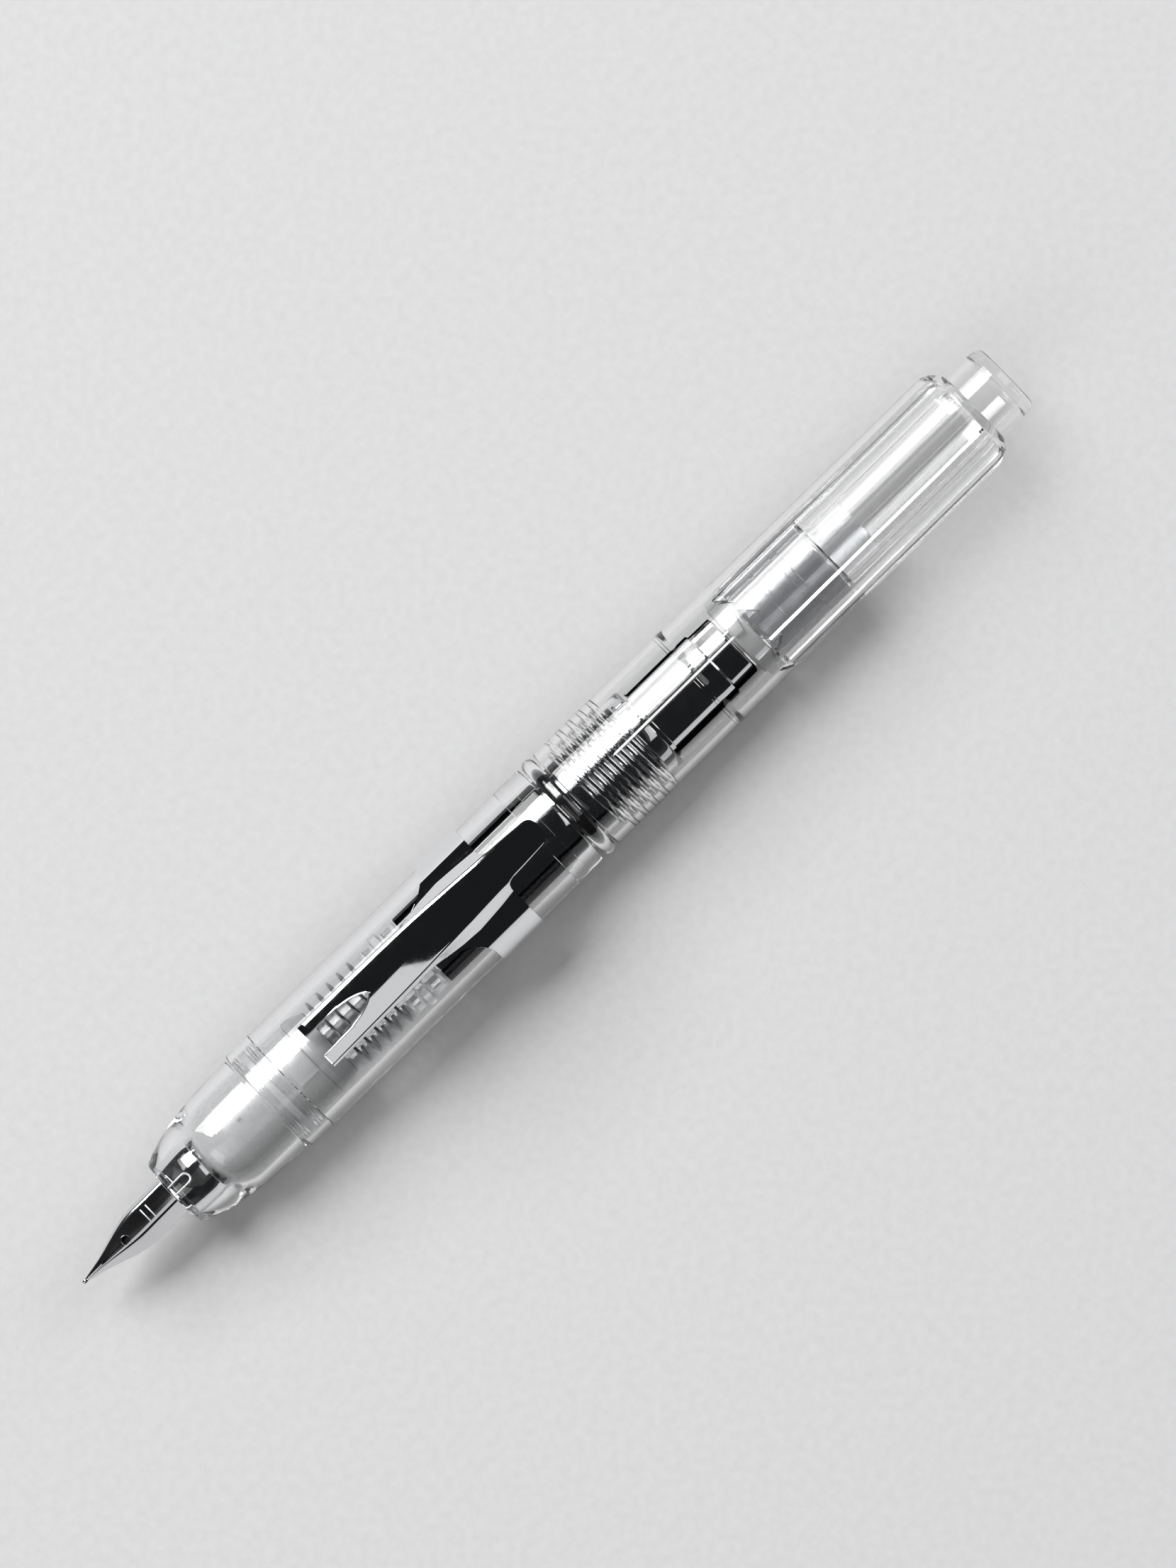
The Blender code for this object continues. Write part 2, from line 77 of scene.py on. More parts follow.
def rough_from_noise(nt, shader, low, high, scale, detail=6.0, stretch=(1, 1, 1)):
    """Roughness that wanders between two values, from noise in object space."""
    coord = add(nt, "ShaderNodeTexCoord")
    mapping = add(nt, "ShaderNodeMapping")
    mapping.inputs["Scale"].default_value = stretch
    noise = add(nt, "ShaderNodeTexNoise")
    noise.inputs["Scale"].default_value = scale
    noise.inputs["Detail"].default_value = detail
    ramp = add(nt, "ShaderNodeMapRange")
    ramp.inputs["From Min"].default_value = 0.3
    ramp.inputs["From Max"].default_value = 0.7
    ramp.inputs["To Min"].default_value = low
    ramp.inputs["To Max"].default_value = high
    nt.links.new(coord.outputs["Object"], mapping.inputs["Vector"])
    nt.links.new(mapping.outputs["Vector"], noise.inputs["Vector"])
    nt.links.new(noise.outputs["Fac"], ramp.inputs["Value"])
    nt.links.new(ramp.outputs["Result"], shader.inputs["Roughness"])
    return mapping, noise


def bump_from_noise(nt, shader, scale, strength, distance, stretch=(1, 1, 1), detail=4.0):
    coord = add(nt, "ShaderNodeTexCoord")
    mapping = add(nt, "ShaderNodeMapping")
    mapping.inputs["Scale"].default_value = stretch
    noise = add(nt, "ShaderNodeTexNoise")
    noise.inputs["Scale"].default_value = scale
    noise.inputs["Detail"].default_value = detail
    bump = add(nt, "ShaderNodeBump")
    bump.inputs["Strength"].default_value = strength
    bump.inputs["Distance"].default_value = distance
    nt.links.new(coord.outputs["Object"], mapping.inputs["Vector"])
    nt.links.new(mapping.outputs["Vector"], noise.inputs["Vector"])
    nt.links.new(noise.outputs["Fac"], bump.inputs["Height"])
    nt.links.new(bump.outputs["Normal"], shader.inputs["Normal"])


def lamp_light_through(nt, shader, out, tint):
    """Lamps shine through the resin, so its shadow stays light."""
    path = add(nt, "ShaderNodeLightPath")
    clear = add(nt, "ShaderNodeBsdfTransparent")
    clear.inputs["Color"].default_value = (*tint, 1.0)
    mix = add(nt, "ShaderNodeMixShader")
    nt.links.new(path.outputs["Is Shadow Ray"], mix.inputs["Fac"])
    nt.links.new(shader.outputs["BSDF"], mix.inputs[1])
    nt.links.new(clear.outputs["BSDF"], mix.inputs[2])
    nt.links.new(mix.outputs["Shader"], out.inputs["Surface"])


def resin(name, tint, low, high, clear=1.0, shadow=(0.965, 0.965, 0.965), ior=1.49, bump=0.0):
    mat, nt, sh, out = nodes_of(name)
    sh.inputs["Base Color"].default_value = (*tint, 1.0)
    sh.inputs["IOR"].default_value = ior
    sh.inputs["Transmission Weight"].default_value = clear
    rough_from_noise(nt, sh, low, high, 900.0)
    if bump:
        bump_from_noise(nt, sh, 2600.0, bump, 0.00002)
    lamp_light_through(nt, sh, out, shadow)
    return mat


def metal(name, color, low, high, bump=0.0, stretch=(1, 1, 1), scale=700.0):
    mat, nt, sh, out = nodes_of(name)
    sh.inputs["Base Color"].default_value = (*color, 1.0)
    sh.inputs["Metallic"].default_value = 1.0
    rough_from_noise(nt, sh, low, high, scale, stretch=stretch)
    if bump:
        bump_from_noise(nt, sh, 3000.0, bump, 0.00001, stretch=stretch)
    return mat


def moulded(name, color, low, high, bump=0.15, scale=2500.0):
    mat, nt, sh, out = nodes_of(name)
    sh.inputs["IOR"].default_value = 1.5
    rough_from_noise(nt, sh, low, high, 1200.0)
    bump_from_noise(nt, sh, scale, bump, 0.00002)
    coord = add(nt, "ShaderNodeTexCoord")
    noise = add(nt, "ShaderNodeTexNoise")
    noise.inputs["Scale"].default_value = 350.0
    ramp = add(nt, "ShaderNodeValToRGB")
    ramp.color_ramp.elements[0].position = 0.35
    ramp.color_ramp.elements[1].position = 0.65
    ramp.color_ramp.elements[0].color = (*[c * 0.9 for c in color], 1.0)
    ramp.color_ramp.elements[1].color = (*[min(1.0, c * 1.08) for c in color], 1.0)
    nt.links.new(coord.outputs["Object"], noise.inputs["Vector"])
    nt.links.new(noise.outputs["Fac"], ramp.inputs["Fac"])
    nt.links.new(ramp.outputs["Color"], sh.inputs["Base Color"])
    return mat


CLEAR = resin("clear_resin_look", (0.985, 0.99, 0.995), 0.0, 0.035)
CLEAR_REAR = resin("clear_rear_look", (0.998, 0.999, 1.0), 0.0, 0.035, shadow=(0.94, 0.94, 0.94))
CLEAR_INNER = resin("clear_inner_look", (0.985, 0.99, 0.995), 0.02, 0.08, shadow=(0.85, 0.85, 0.85))
MILKY = resin("milky_resin_look", (0.72, 0.725, 0.73), 0.26, 0.29, clear=0.12, shadow=(0.6, 0.6, 0.6))
_milky = MILKY.node_tree.nodes["Principled BSDF"]
_milky.inputs["Subsurface Weight"].default_value = 0.6
_milky.inputs["Subsurface Radius"].default_value = (1.0, 1.0, 1.0)
_milky.inputs["Subsurface Scale"].default_value = 0.006
SMOKE = resin("smoke_resin_look", (0.60, 0.605, 0.62), 0.14, 0.18, clear=0.86, shadow=(0.55, 0.55, 0.55))
SLEEVE = resin("cam_sleeve_look", (0.68, 0.685, 0.70), 0.12, 0.16, clear=0.88, shadow=(0.6, 0.6, 0.6))
FROST = resin("frosted_grey_look", (0.72, 0.725, 0.73), 0.30, 0.36, clear=0.55, shadow=(0.5, 0.5, 0.5), bump=0.05)
SILICONE = resin("silicone_look", (0.90, 0.905, 0.91), 0.30, 0.45, clear=0.8, shadow=(0.8, 0.8, 0.8), ior=1.41, bump=0.05)
CHROME = metal("chrome_look", (0.86, 0.865, 0.875), 0.02, 0.06, bump=0.02)
TUBE_CHROME = metal("tube_chrome_look", (0.86, 0.865, 0.875), 0.02, 0.06, bump=0.02)


def paint_dark_reflection_below(mat, height, band, dark):
    """Painted dark reflection: below a set height the metal's colour turns dark, standing in for the dark room the
    polished tube mirrors.
    """
    nt = mat.node_tree
    sh = nt.nodes["Principled BSDF"]
    coord = add(nt, "ShaderNodeTexCoord")
    split = add(nt, "ShaderNodeSeparateXYZ")
    ramp = add(nt, "ShaderNodeMapRange")
    ramp.inputs["From Min"].default_value = height - band
    ramp.inputs["From Max"].default_value = height + band
    mix = add(nt, "ShaderNodeMix", data_type="RGBA")
    mix.inputs["A"].default_value = (*dark, 1.0)
    mix.inputs["B"].default_value = sh.inputs["Base Color"].default_value[:]
    nt.links.new(coord.outputs["Object"], split.inputs["Vector"])
    nt.links.new(split.outputs["Z"], ramp.inputs["Value"])
    nt.links.new(ramp.outputs["Result"], mix.inputs["Factor"])
    nt.links.new(mix.outputs["Result"], sh.inputs["Base Color"])


TAIL_CHROME = metal("tail_chrome_look", (0.86, 0.865, 0.875), 0.02, 0.06, bump=0.02)
# painted dark reflection on both tube materials: a near-black specular tint darkens their grazing edges, and below a
# set height above the axis their colour turns near black, standing in for the dark room the tube would mirror
for _mat, _height in ((TUBE_CHROME, 3.55), (TAIL_CHROME, 2.35)):
    _mat.node_tree.nodes["Principled BSDF"].inputs["Specular Tint"].default_value = (0.06, 0.06, 0.065, 1.0)
    paint_dark_reflection_below(_mat, AXIS + _height * MM, 0.06 * MM, (0.03, 0.03, 0.032))
STEEL = metal("nib_steel_look", (0.70, 0.70, 0.715), 0.07, 0.14, bump=0.05, stretch=(0.2, 1, 1))
ETCH = metal("etched_steel_look", (0.80, 0.80, 0.81), 0.42, 0.55)
SATIN = metal("satin_trim_look", (0.88, 0.885, 0.89), 0.26, 0.34)
WIRE = metal("spring_wire_look", (0.26, 0.265, 0.275), 0.08, 0.16, bump=0.03)
FEED_BLACK = moulded("feed_black_look", (0.018, 0.018, 0.020), 0.28, 0.42)
FEED_BLACK.node_tree.nodes["Principled BSDF"].inputs["Specular IOR Level"].default_value = 0.15
GREY = moulded("grey_mould_look", (0.36, 0.37, 0.39), 0.30, 0.45)
# near-black gloss, used only for the painted-shade ring inside the joint bead
SHADE_BLACK = moulded("shade_black_look", (0.010, 0.010, 0.011), 0.10, 0.16, bump=0.03)
PRINT = moulded("white_print_look", (0.86, 0.86, 0.86), 0.35, 0.5)

# =============================================================================
# geometry helpers (millimetres, x along the pen, radius from its axis)
# =============================================================================


def finish_mesh(bm, name, mat, sharp=40.0):
    bmesh.ops.recalc_face_normals(bm, faces=bm.faces)
    mesh = bpy.data.meshes.new(name)
    bm.to_mesh(mesh)
    bm.free()
    mesh.materials.append(mat)
    mesh.shade_smooth()
    mesh.set_sharp_from_angle(angle=math.radians(sharp))
    obj = bpy.data.objects.new(name, mesh)
    bpy.context.scene.collection.objects.link(obj)
    return obj


def rounded(points, radius=0.1, steps=4, closed=True):
    """Rounds a profile's corners and keeps its flats flat up to each round."""
    out = []
    count = len(points)
    for i, p in enumerate(points):
        r = p[2] if len(p) > 2 else radius
        p = np.array(p[:2], float)
        if not closed and i in (0, count - 1):
            out.append(tuple(p))
            continue
        a = np.array(points[i - 1][:2], float)
        b = np.array(points[(i + 1) % count][:2], float)
        da, db = a - p, b - p
        la, lb = np.linalg.norm(da), np.linalg.norm(db)
        if la < 1e-9 or lb < 1e-9 or r <= 0:
            out.append(tuple(p))
            continue
        da, db = da / la, db / lb
        cos = float(np.clip(da @ db, -1, 1))
        turn = math.pi - math.acos(cos)
        if turn < math.radians(6):
            out.append(tuple(p))
            continue
        cut = min(r * math.tan(turn / 2), 0.42 * la, 0.42 * lb)
        r = cut / math.tan(turn / 2)
        start, end = p + da * cut, p + db * cut
        middle = (da + db) / np.linalg.norm(da + db)
        centre = p + middle * math.hypot(r, cut)
        lead = min(0.03, 0.05 * la), min(0.03, 0.05 * lb)
        out.append(tuple(start + da * lead[0]))
        v0, v1 = start - centre, end - centre
        n = max(2, int(math.ceil(steps * turn / (math.pi / 2))))
        for k in range(n + 1):
            t = k / n
            w0 = math.sin((1 - t) * turn) / math.sin(turn)
            w1 = math.sin(t * turn) / math.sin(turn)
            if abs(math.sin(turn)) < 1e-6:
                w0, w1 = 1 - t, t
            out.append(tuple(centre + v0 * w0 + v1 * w1))
        out.append(tuple(end + db * lead[1]))
    return out


def curve_through(points, count):
    """A smooth run of points through a few (x, r) stations, sampled by x."""
    xs = np.array([p[0] for p in points], float)
    rs = np.array([p[1] for p in points], float)
    slope = np.gradient(rs, xs)
    out = []
    for x in np.linspace(xs[0], xs[-1], count):
        i = min(len(xs) - 2, int(np.searchsorted(xs, x, side="right")) - 1)
        i = max(i, 0)
        h = xs[i + 1] - xs[i]
        t = (x - xs[i]) / h
        out.append((float(x), float(
            (2 * t**3 - 3 * t**2 + 1) * rs[i] + (t**3 - 2 * t**2 + t) * h * slope[i]
            + (-2 * t**3 + 3 * t**2) * rs[i + 1] + (t**3 - t**2) * h * slope[i + 1])))
    return out


def read(table, x):
    return float(np.interp(x, [p[0] for p in table], [p[1] for p in table]))


def turned(name, profile, mat, body, stands_for=(), segs=128, closed=True, sharp=40.0):
    """A body of revolution from a profile of (x, r)."""
    bm = bmesh.new()
    rings = []
    for p in profile:
        x, r = p[0], p[1]
        if r < 1e-6:
            rings.append([bm.verts.new((x * MM, 0.0, AXIS))])
            continue
        rings.append([
            bm.verts.new((x * MM, r * MM * math.sin(2 * math.pi * k / segs),
                          AXIS - r * MM * math.cos(2 * math.pi * k / segs)))
            for k in range(segs)])
    pairs = list(zip(rings, rings[1:] + rings[:1])) if closed else list(zip(rings, rings[1:]))
    for a, b in pairs:
        for k in range(segs):
            j = (k + 1) % segs
            if len(a) == 1 and len(b) == 1:
                break
            if len(a) == 1:
                bm.faces.new((a[0], b[k], b[j]))
            elif len(b) == 1:
                bm.faces.new((a[k], b[0], a[j]))
            else:
                bm.faces.new((a[k], b[k], b[j], a[j]))
    obj = finish_mesh(bm, name, mat, sharp)
    settle(obj, body, stands_for)
    return obj


def settle(obj, body, stands_for=()):
    if body:
        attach(obj, body)
    if stands_for:
        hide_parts(*stands_for)


def bool_cut(obj, cutter, operation="DIFFERENCE"):
    """Cuts now, so that no helper object is left behind."""
    mod = obj.modifiers.new("cut", "BOOLEAN")
    mod.operation = operation
    mod.solver = "EXACT"
    mod.object = cutter
    bpy.context.view_layer.update()
    deps = bpy.context.evaluated_depsgraph_get()
    mesh = bpy.data.meshes.new_from_object(obj.evaluated_get(deps))
    old = obj.data
    obj.modifiers.remove(mod)
    obj.data = mesh
    bpy.data.meshes.remove(old)
    bpy.data.objects.remove(cutter, do_unlink=True)


def prism(outline, z0, z1):
    """A cutter: a plan outline (x, y) extruded between two heights above the axis."""
    bm = bmesh.new()
    low = [bm.verts.new((x * MM, y * MM, AXIS + z0 * MM)) for x, y in outline]
    high = [bm.verts.new((x * MM, y * MM, AXIS + z1 * MM)) for x, y in outline]
    bm.faces.new(low)
    bm.faces.new(high[::-1])
    for i in range(len(low)):
        j = (i + 1) % len(low)
        bm.faces.new((low[i], low[j], high[j], high[i]))
    bmesh.ops.recalc_face_normals(bm, faces=bm.faces)
    mesh = bpy.data.meshes.new("cutter")
    bm.to_mesh(mesh)
    bm.free()
    obj = bpy.data.objects.new("cutter", mesh)
    bpy.context.scene.collection.objects.link(obj)
    return obj


def disc_outline(cx, cy, r, count=32):
    return [(cx + r * math.cos(2 * math.pi * k / count), cy + r * math.sin(2 * math.pi * k / count))
            for k in range(count)]


def tube_along(name, path, radius, mat, body, stands_for=(), sides=10, flat=1.0):
    """A round wire along a list of 3-D points in mm (z from the axis); flat thins it along x."""
    bm = bmesh.new()
    pts = [Vector((x * MM, y * MM, AXIS + z * MM)) for x, y, z in path]
    rings = []
    for i, p in enumerate(pts):
        d = (pts[min(i + 1, len(pts) - 1)] - pts[max(i - 1, 0)]).normalized()
        out = Vector((0.0, p.y, p.z - AXIS)).normalized()
        side = d.cross(out).normalized()
        up = side.cross(d).normalized()
        ring = [(up * math.cos(2 * math.pi * k / sides) + side * math.sin(2 * math.pi * k / sides)) * radius * MM for k in range(sides)]
        rings.append([bm.verts.new(p + Vector((v.x * flat, v.y, v.z))) for v in ring])
    for a, b in zip(rings, rings[1:]):
        for k in range(sides):
            j = (k + 1) % sides
            bm.faces.new((a[k], a[j], b[j], b[k]))
    bm.faces.new(rings[0][::-1])
    bm.faces.new(rings[-1])
    obj = finish_mesh(bm, name, mat, 60.0)
    settle(obj, body, stands_for)
    return obj


# =============================================================================
# thread shared by the two barrels (same as the CAD's)
# =============================================================================
PITCH, TURNS, THREAD_X0, PER_TURN = 1.6, 5.0, 6.0, 20


def ridge(x, angle, start, crest_half=0.13, root_half=0.36):
    """How far a helical ridge stands at a place, 0 to 1."""
    turns_here = (x - start) / PITCH - (angle - math.pi / 24) / (2 * math.pi)
    k = round(turns_here)
    total = k + (angle - math.pi / 24) / (2 * math.pi)
    if total < 0 or total > TURNS:
        return 0.0
    d = abs(turns_here - k) * PITCH
    up = min(1.0, max(0.0, (root_half - d) / (root_half - crest_half)))
    fade = min(1.0, max(0.0, min(total, TURNS - total) * 3.0))
    return up * up * (3 - 2 * up) * fade


def strip_faces(bm, rows, helix):
    """Faces between neighbouring rows of points round the tube. helix is the pair of row
    numbers between which each row climbs one pitch in a turn and meets a later row."""
    n = len(rows[0])
    first, last = helix if helix else (None, None)
    for i in range(len(rows) - 1):
        a, b = rows[i], rows[i + 1]
        for k in range(n - 1):
            bm.faces.new((a[k], b[k], b[k + 1], a[k + 1]))
        inside = helix and first <= i and i + 1 <= last
        if not inside and not (helix and i in (first - 1, last)):
            bm.faces.new((a[-1], b[-1], b[0], a[0]))
        elif inside and i + 1 + PER_TURN <= last:
            c, d = rows[i + PER_TURN], rows[i + 1 + PER_TURN]
            bm.faces.new((a[-1], b[-1], d[0], c[0]))
    if helix:
        fan = [rows[first - 1][-1], rows[first][-1]] + [rows[first + k][0] for k in range(PER_TURN, -1, -1)] + [rows[first - 1][0]]
        bm.faces.new(fan)
        fan = [rows[last - k][-1] for k in range(PER_TURN, -1, -1)] + [rows[last + 1][-1], rows[last + 1][0], rows[last][0]]
        bm.faces.new(fan)


def shell(name, outer_rows, inner_rows, outer, inner, mat, body, stands_for, angles, outer_helix=None, inner_helix=None, sharp=35.0):
    """A closed tube whose two skins are rows of points; a row is an x or a function of the angle."""
    bm = bmesh.new()

    def skin(stations, radius):
        rows = []
        for x in stations:
            rows.append([])
            for a in angles:
                xx = x(a) if callable(x) else x
                r = radius(xx, a)
                rows[-1].append(bm.verts.new((xx * MM, r * MM * math.sin(a), AXIS - r * MM * math.cos(a))))
        return rows

    outs, ins = skin(outer_rows, outer), skin(inner_rows, inner)
    strip_faces(bm, outs, outer_helix)
    strip_faces(bm, ins, inner_helix)
    for a, b in ((outs[0], ins[0]), (outs[-1], ins[-1])):
        strip_faces(bm, [a, b], None)
    obj = finish_mesh(bm, name, mat, sharp)
    settle(obj, body, stands_for)
    return obj


def helix_rows(x0, x1):
    step = PITCH / PER_TURN
    count = int(round((x1 - x0) / step)) + 1
    return [(lambda a, xb=x0 + i * step: xb + PITCH * a / (2 * math.pi)) for i in range(count)]


# =============================================================================
# front half
# =============================================================================
nose_outer = curve_through([
    (-58.45, 4.55), (-57.3, 5.02), (-55.5, 5.6), (-53.6, 6.0), (-51.5, 6.3),
    (-49.8, 6.47), (-47.5, 6.6), (-44.3, 6.65)], 36)
spigot = []
for ring_x in (-43.25, -42.25, -41.25):
    spigot += [(ring_x - 0.22, 5.95), (ring_x - 0.1, 6.12), (ring_x + 0.1, 6.12), (ring_x + 0.22, 5.95)]
nose_profile = rounded(
    [(-58.7, 4.3, 0.12)] + nose_outer + [(-44.15, 6.6, 0.08), (-44.15, 5.95, 0.0)] + spigot
    + [(-40.65, 5.95), (-40.65, 5.4)]
    + curve_through([(-55.3, 3.87), (-54.4, 3.95), (-53.4, 4.35), (-52.3, 4.88), (-51.0, 5.25), (-49.5, 5.38), (-48.0, 5.4)], 26)[::-1]
    + [(-58.7, 3.85, 0.15)], 0.05)
turned("nose_shell", nose_profile, CLEAR, "front", ["nose_cone"])

# mouth ring with four small lugs
turned("mouth_trim", rounded([(-58.95, 3.55, 0.12), (-58.95, 3.1, 0.1), (-57.95, 3.1), (-57.95, 3.7), (-58.75, 3.7, 0.12)], 0.06),
       CHROME, "front", ["mouth_ring"], segs=96)

tunnel = turned("tunnel_sleeve", rounded([(-57.75, 3.62), (-54.0, 3.62), (-54.0, 3.12), (-57.75, 3.12)], 0.08),
                CHROME, None, segs=128)
slot_outline = [(-58.4, -0.42), (-56.35, -0.42)] + [
    (-56.35 + 0.42 * math.sin(a), -0.42 * math.cos(a)) for a in np.linspace(0.15, math.pi - 0.15, 14)] + [(-56.35, 0.42), (-58.4, 0.42)]
bool_cut(tunnel, prism(slot_outline, 2.4, 4.4))
tunnel.data.set_sharp_from_angle(angle=math.radians(40))
settle(tunnel, "front", ["nib_tunnel"])
# raised rim round the slot
rim_path = [(-58.75, -0.56, 3.70), (-58.2, -0.56, 3.68), (-57.7, -0.56, 3.60)] + [(x, -0.56, 3.60) for x in np.linspace(-57.4, -56.4, 6)] + [
    (-56.35 + 0.56 * math.sin(a), -0.56 * math.cos(a), 3.61) for a in np.linspace(0.2, math.pi - 0.2, 14)] + [
    (x, 0.56, 3.60) for x in np.linspace(-56.4, -57.7, 7)] + [(-58.2, 0.56, 3.68), (-58.75, 0.56, 3.70)]
rim = tube_along("tunnel_slot_rim", rim_path, 0.12, SATIN, "front", sides=8)

dome_outer = curve_through([(-53.75, 3.05), (-53.2, 3.55), (-52.3, 4.12), (-51.6, 4.45), (-50.5, 4.85), (-49.4, 5.08), (-48.4, 5.1)], 22)
dome_inner = curve_through([(-52.9, 3.05), (-52.2, 3.55), (-51.4, 3.95), (-50.4, 4.35), (-49.3, 4.58), (-48.3, 4.6)], 16)
turned("chamber_shell", rounded(dome_outer + [(-36.95, 5.1), (-36.95, 4.6)] + dome_inner[::-1], 0.06),
       MILKY, "front", ["seal_chamber"])
turned("chamber_gasket", rounded([(-39.8, 4.1), (-39.5, 4.4), (-37.7, 4.4), (-37.4, 4.1), (-37.4, 3.1), (-39.8, 3.1)], 0.15),
       SILICONE, "front", ["seal_gasket"])
turned("nose_seal_ring", rounded([(-42.75, 6.1), (-41.85, 6.1), (-41.85, 5.85), (-42.75, 5.85)], 0.12),
       SILICONE, "front", ["nose_oring"])
turned("seat_cone", rounded([(-36.9, 5.25), (-36.1, 5.25), (-34.1, 4.5), (-34.1, 3.3), (-36.9, 3.3)], 0.1),
       FROST, "front", ["spring_seat"])

# front barrel with its threaded spigot
BARREL_OUT = [(-43.85, 6.78), (-43.82, 6.88), (-43.75, 6.95), (-43.65, 6.99), (-43.5, 7.0), (2.2, 7.0), (2.35, 6.98),
              (2.5, 6.93), (2.58, 6.86), (2.6, 6.8), (2.605, 5.55), (2.7, 5.55), (16.35, 5.55), (16.45, 5.52), (16.6, 5.42), (16.7, 5.3)]
BARREL_IN = [(-43.85, 6.25), (-40.42, 6.25), (-40.3, 6.13), (-40.28, 5.6), (-39.9, 5.6), (-39.0, 5.6), (-2.4, 5.6), (-1.6, 5.6), (-1.35, 5.6), (-1.3, 5.55), (-1.28, 5.32), (-0.62, 5.3),
             (-0.6, 5.17), (0.42, 5.15), (0.45, 5.0), (0.8, 5.0), (1.6, 5.0), (15.8, 5.0), (16.55, 5.0), (16.7, 5.1)]
front_angles = [2 * math.pi * k / 128 for k in range(128)]
before = [-43.85, -43.82, -43.75, -43.65, -43.5, -43.3, -42.0, 1.0, 2.0, 2.2, 2.35, 2.5, 2.58, 2.6, 2.605, 2.7, 3.4]
coil = helix_rows(4.0, 14.4)
after = [16.35, 16.45, 16.6, 16.7]
shell("front_barrel_shell", before + coil + after, [p[0] for p in BARREL_IN],
      lambda x, a: read(BARREL_OUT, x) + (0.40 * ridge(x, a, THREAD_X0) if x > 4.0 else 0.0),
      lambda x, a: read(BARREL_IN, x), CLEAR, "front", ["front_barrel"], front_angles,
      outer_helix=(len(before), len(before) + len(coil) - 1))

# =============================================================================
# clip: one stamped sheet, with a crowned arm over a band
# =============================================================================
CROWN = curve_through([(-35.8, 7.42), (-35.35, 7.62), (-34.9, 7.72), (-34.0, 7.79), (-33.0, 7.87), (-31.0, 8.02), (-28.0, 8.24), (-25.0, 8.46),
                       (-22.0, 8.64), (-19.0, 8.77), (-16.0, 8.84), (-13.0, 8.82), (-10.0, 8.70), (-7.0, 8.46), (-4.0, 8.14),
                       (-1.5, 7.84), (0.2, 7.66)], 240)
ARM_W = curve_through([(-35.8, 2.88), (-30.0, 2.86), (-25.0, 2.82), (-20.0, 2.70), (-17.0, 2.56), (-13.5, 2.32), (-10.0, 2.10),
                       (-7.3, 1.92), (-4.0, 1.76), (-1.5, 1.58), (0.2, 1.50)], 160)
BAND_R, SHEET_T, CROWN_RHO = 7.47, 0.26, 17.0
SLOPE_RUN = [(-36.0, 0.30), (-19.0, 0.34), (-15.5, 1.05), (-13.0, 1.42), (-7.0, 1.42), (-6.0, 0.9), (0.3, 0.5)]


def clip_section(x, lift):
    """Outer (or inner, lift < 0) line of the sheet at one place, from -110 to +110 degrees."""
    crown, w, run = read(CROWN, x) + lift, read(ARM_W, x), read(SLOPE_RUN, x)
    edge_z = crown - w * w / (2 * CROWN_RHO)
    foot_y = w + run
    band = BAND_R + lift
    foot_phi = math.asin(min(0.98, foot_y / band))
    foot_z = band * math.cos(foot_phi)
    half = []
    for t in np.linspace(0, 1, 15)[:-1]:                      # crown
        y = w * t
        half.append((y, crown - y * y / (2 * CROWN_RHO)))
    for t in np.linspace(0, 1, 13):                            # rounded edge, slope, foot
        y = w + (foot_y - w) * t
        smooth = t * t * (3 - 2 * t)
        mixed = 0.70 * t + 0.30 * smooth
        half.append((y, edge_z + (foot_z - edge_z) * mixed))
    last = math.radians(110)
    for t in np.linspace(0, 1, 34)[1:]:                        # band
        phi = foot_phi + (last - foot_phi) * t
        half.append((band * math.sin(phi), band * math.cos(phi)))
    # ease the corner where the crown meets the slope
    pts = half[:]
    for _ in range(2):
        for i in (12, 13, 14, 15):
            pts[i] = ((half[i - 1][0] + half[i][0] * 2 + half[i + 1][0]) / 4, (half[i - 1][1] + half[i][1] * 2 + half[i + 1][1]) / 4)
        half = pts[:]
    return [(-y, z) for y, z in half[:0:-1]] + half


sheet_x = list(np.linspace(-36.0, -20.0, 50)) + list(np.linspace(-19.8, 0.3, 90))
bm = bmesh.new()
top, bottom = [], []
for x in sheet_x:
    top.append([bm.verts.new((x * MM, y * MM, AXIS + z * MM)) for y, z in clip_section(x, 0.0)])
    bottom.append([bm.verts.new((x * MM, y * MM, AXIS + z * MM)) for y, z in clip_section(x, -SHEET_T)])
cols = len(top[0])
for i in range(len(sheet_x) - 1):
    for j in range(cols - 1):
        bm.faces.new((top[i][j], top[i + 1][j], top[i + 1][j + 1], top[i][j + 1]))
        bm.faces.new((bottom[i][j], bottom[i][j + 1], bottom[i + 1][j + 1], bottom[i + 1][j]))
for i in range(len(sheet_x) - 1):
    for j in (0, cols - 1):
        bm.faces.new((top[i][j], top[i + 1][j], bottom[i + 1][j], bottom[i][j]))
for j in range(cols - 1):
    for i in (0, len(sheet_x) - 1):
        bm.faces.new((top[i][j], top[i][j + 1], bottom[i][j + 1], bottom[i][j]))
clip = finish_mesh(bm, "clip_sheet", CHROME)

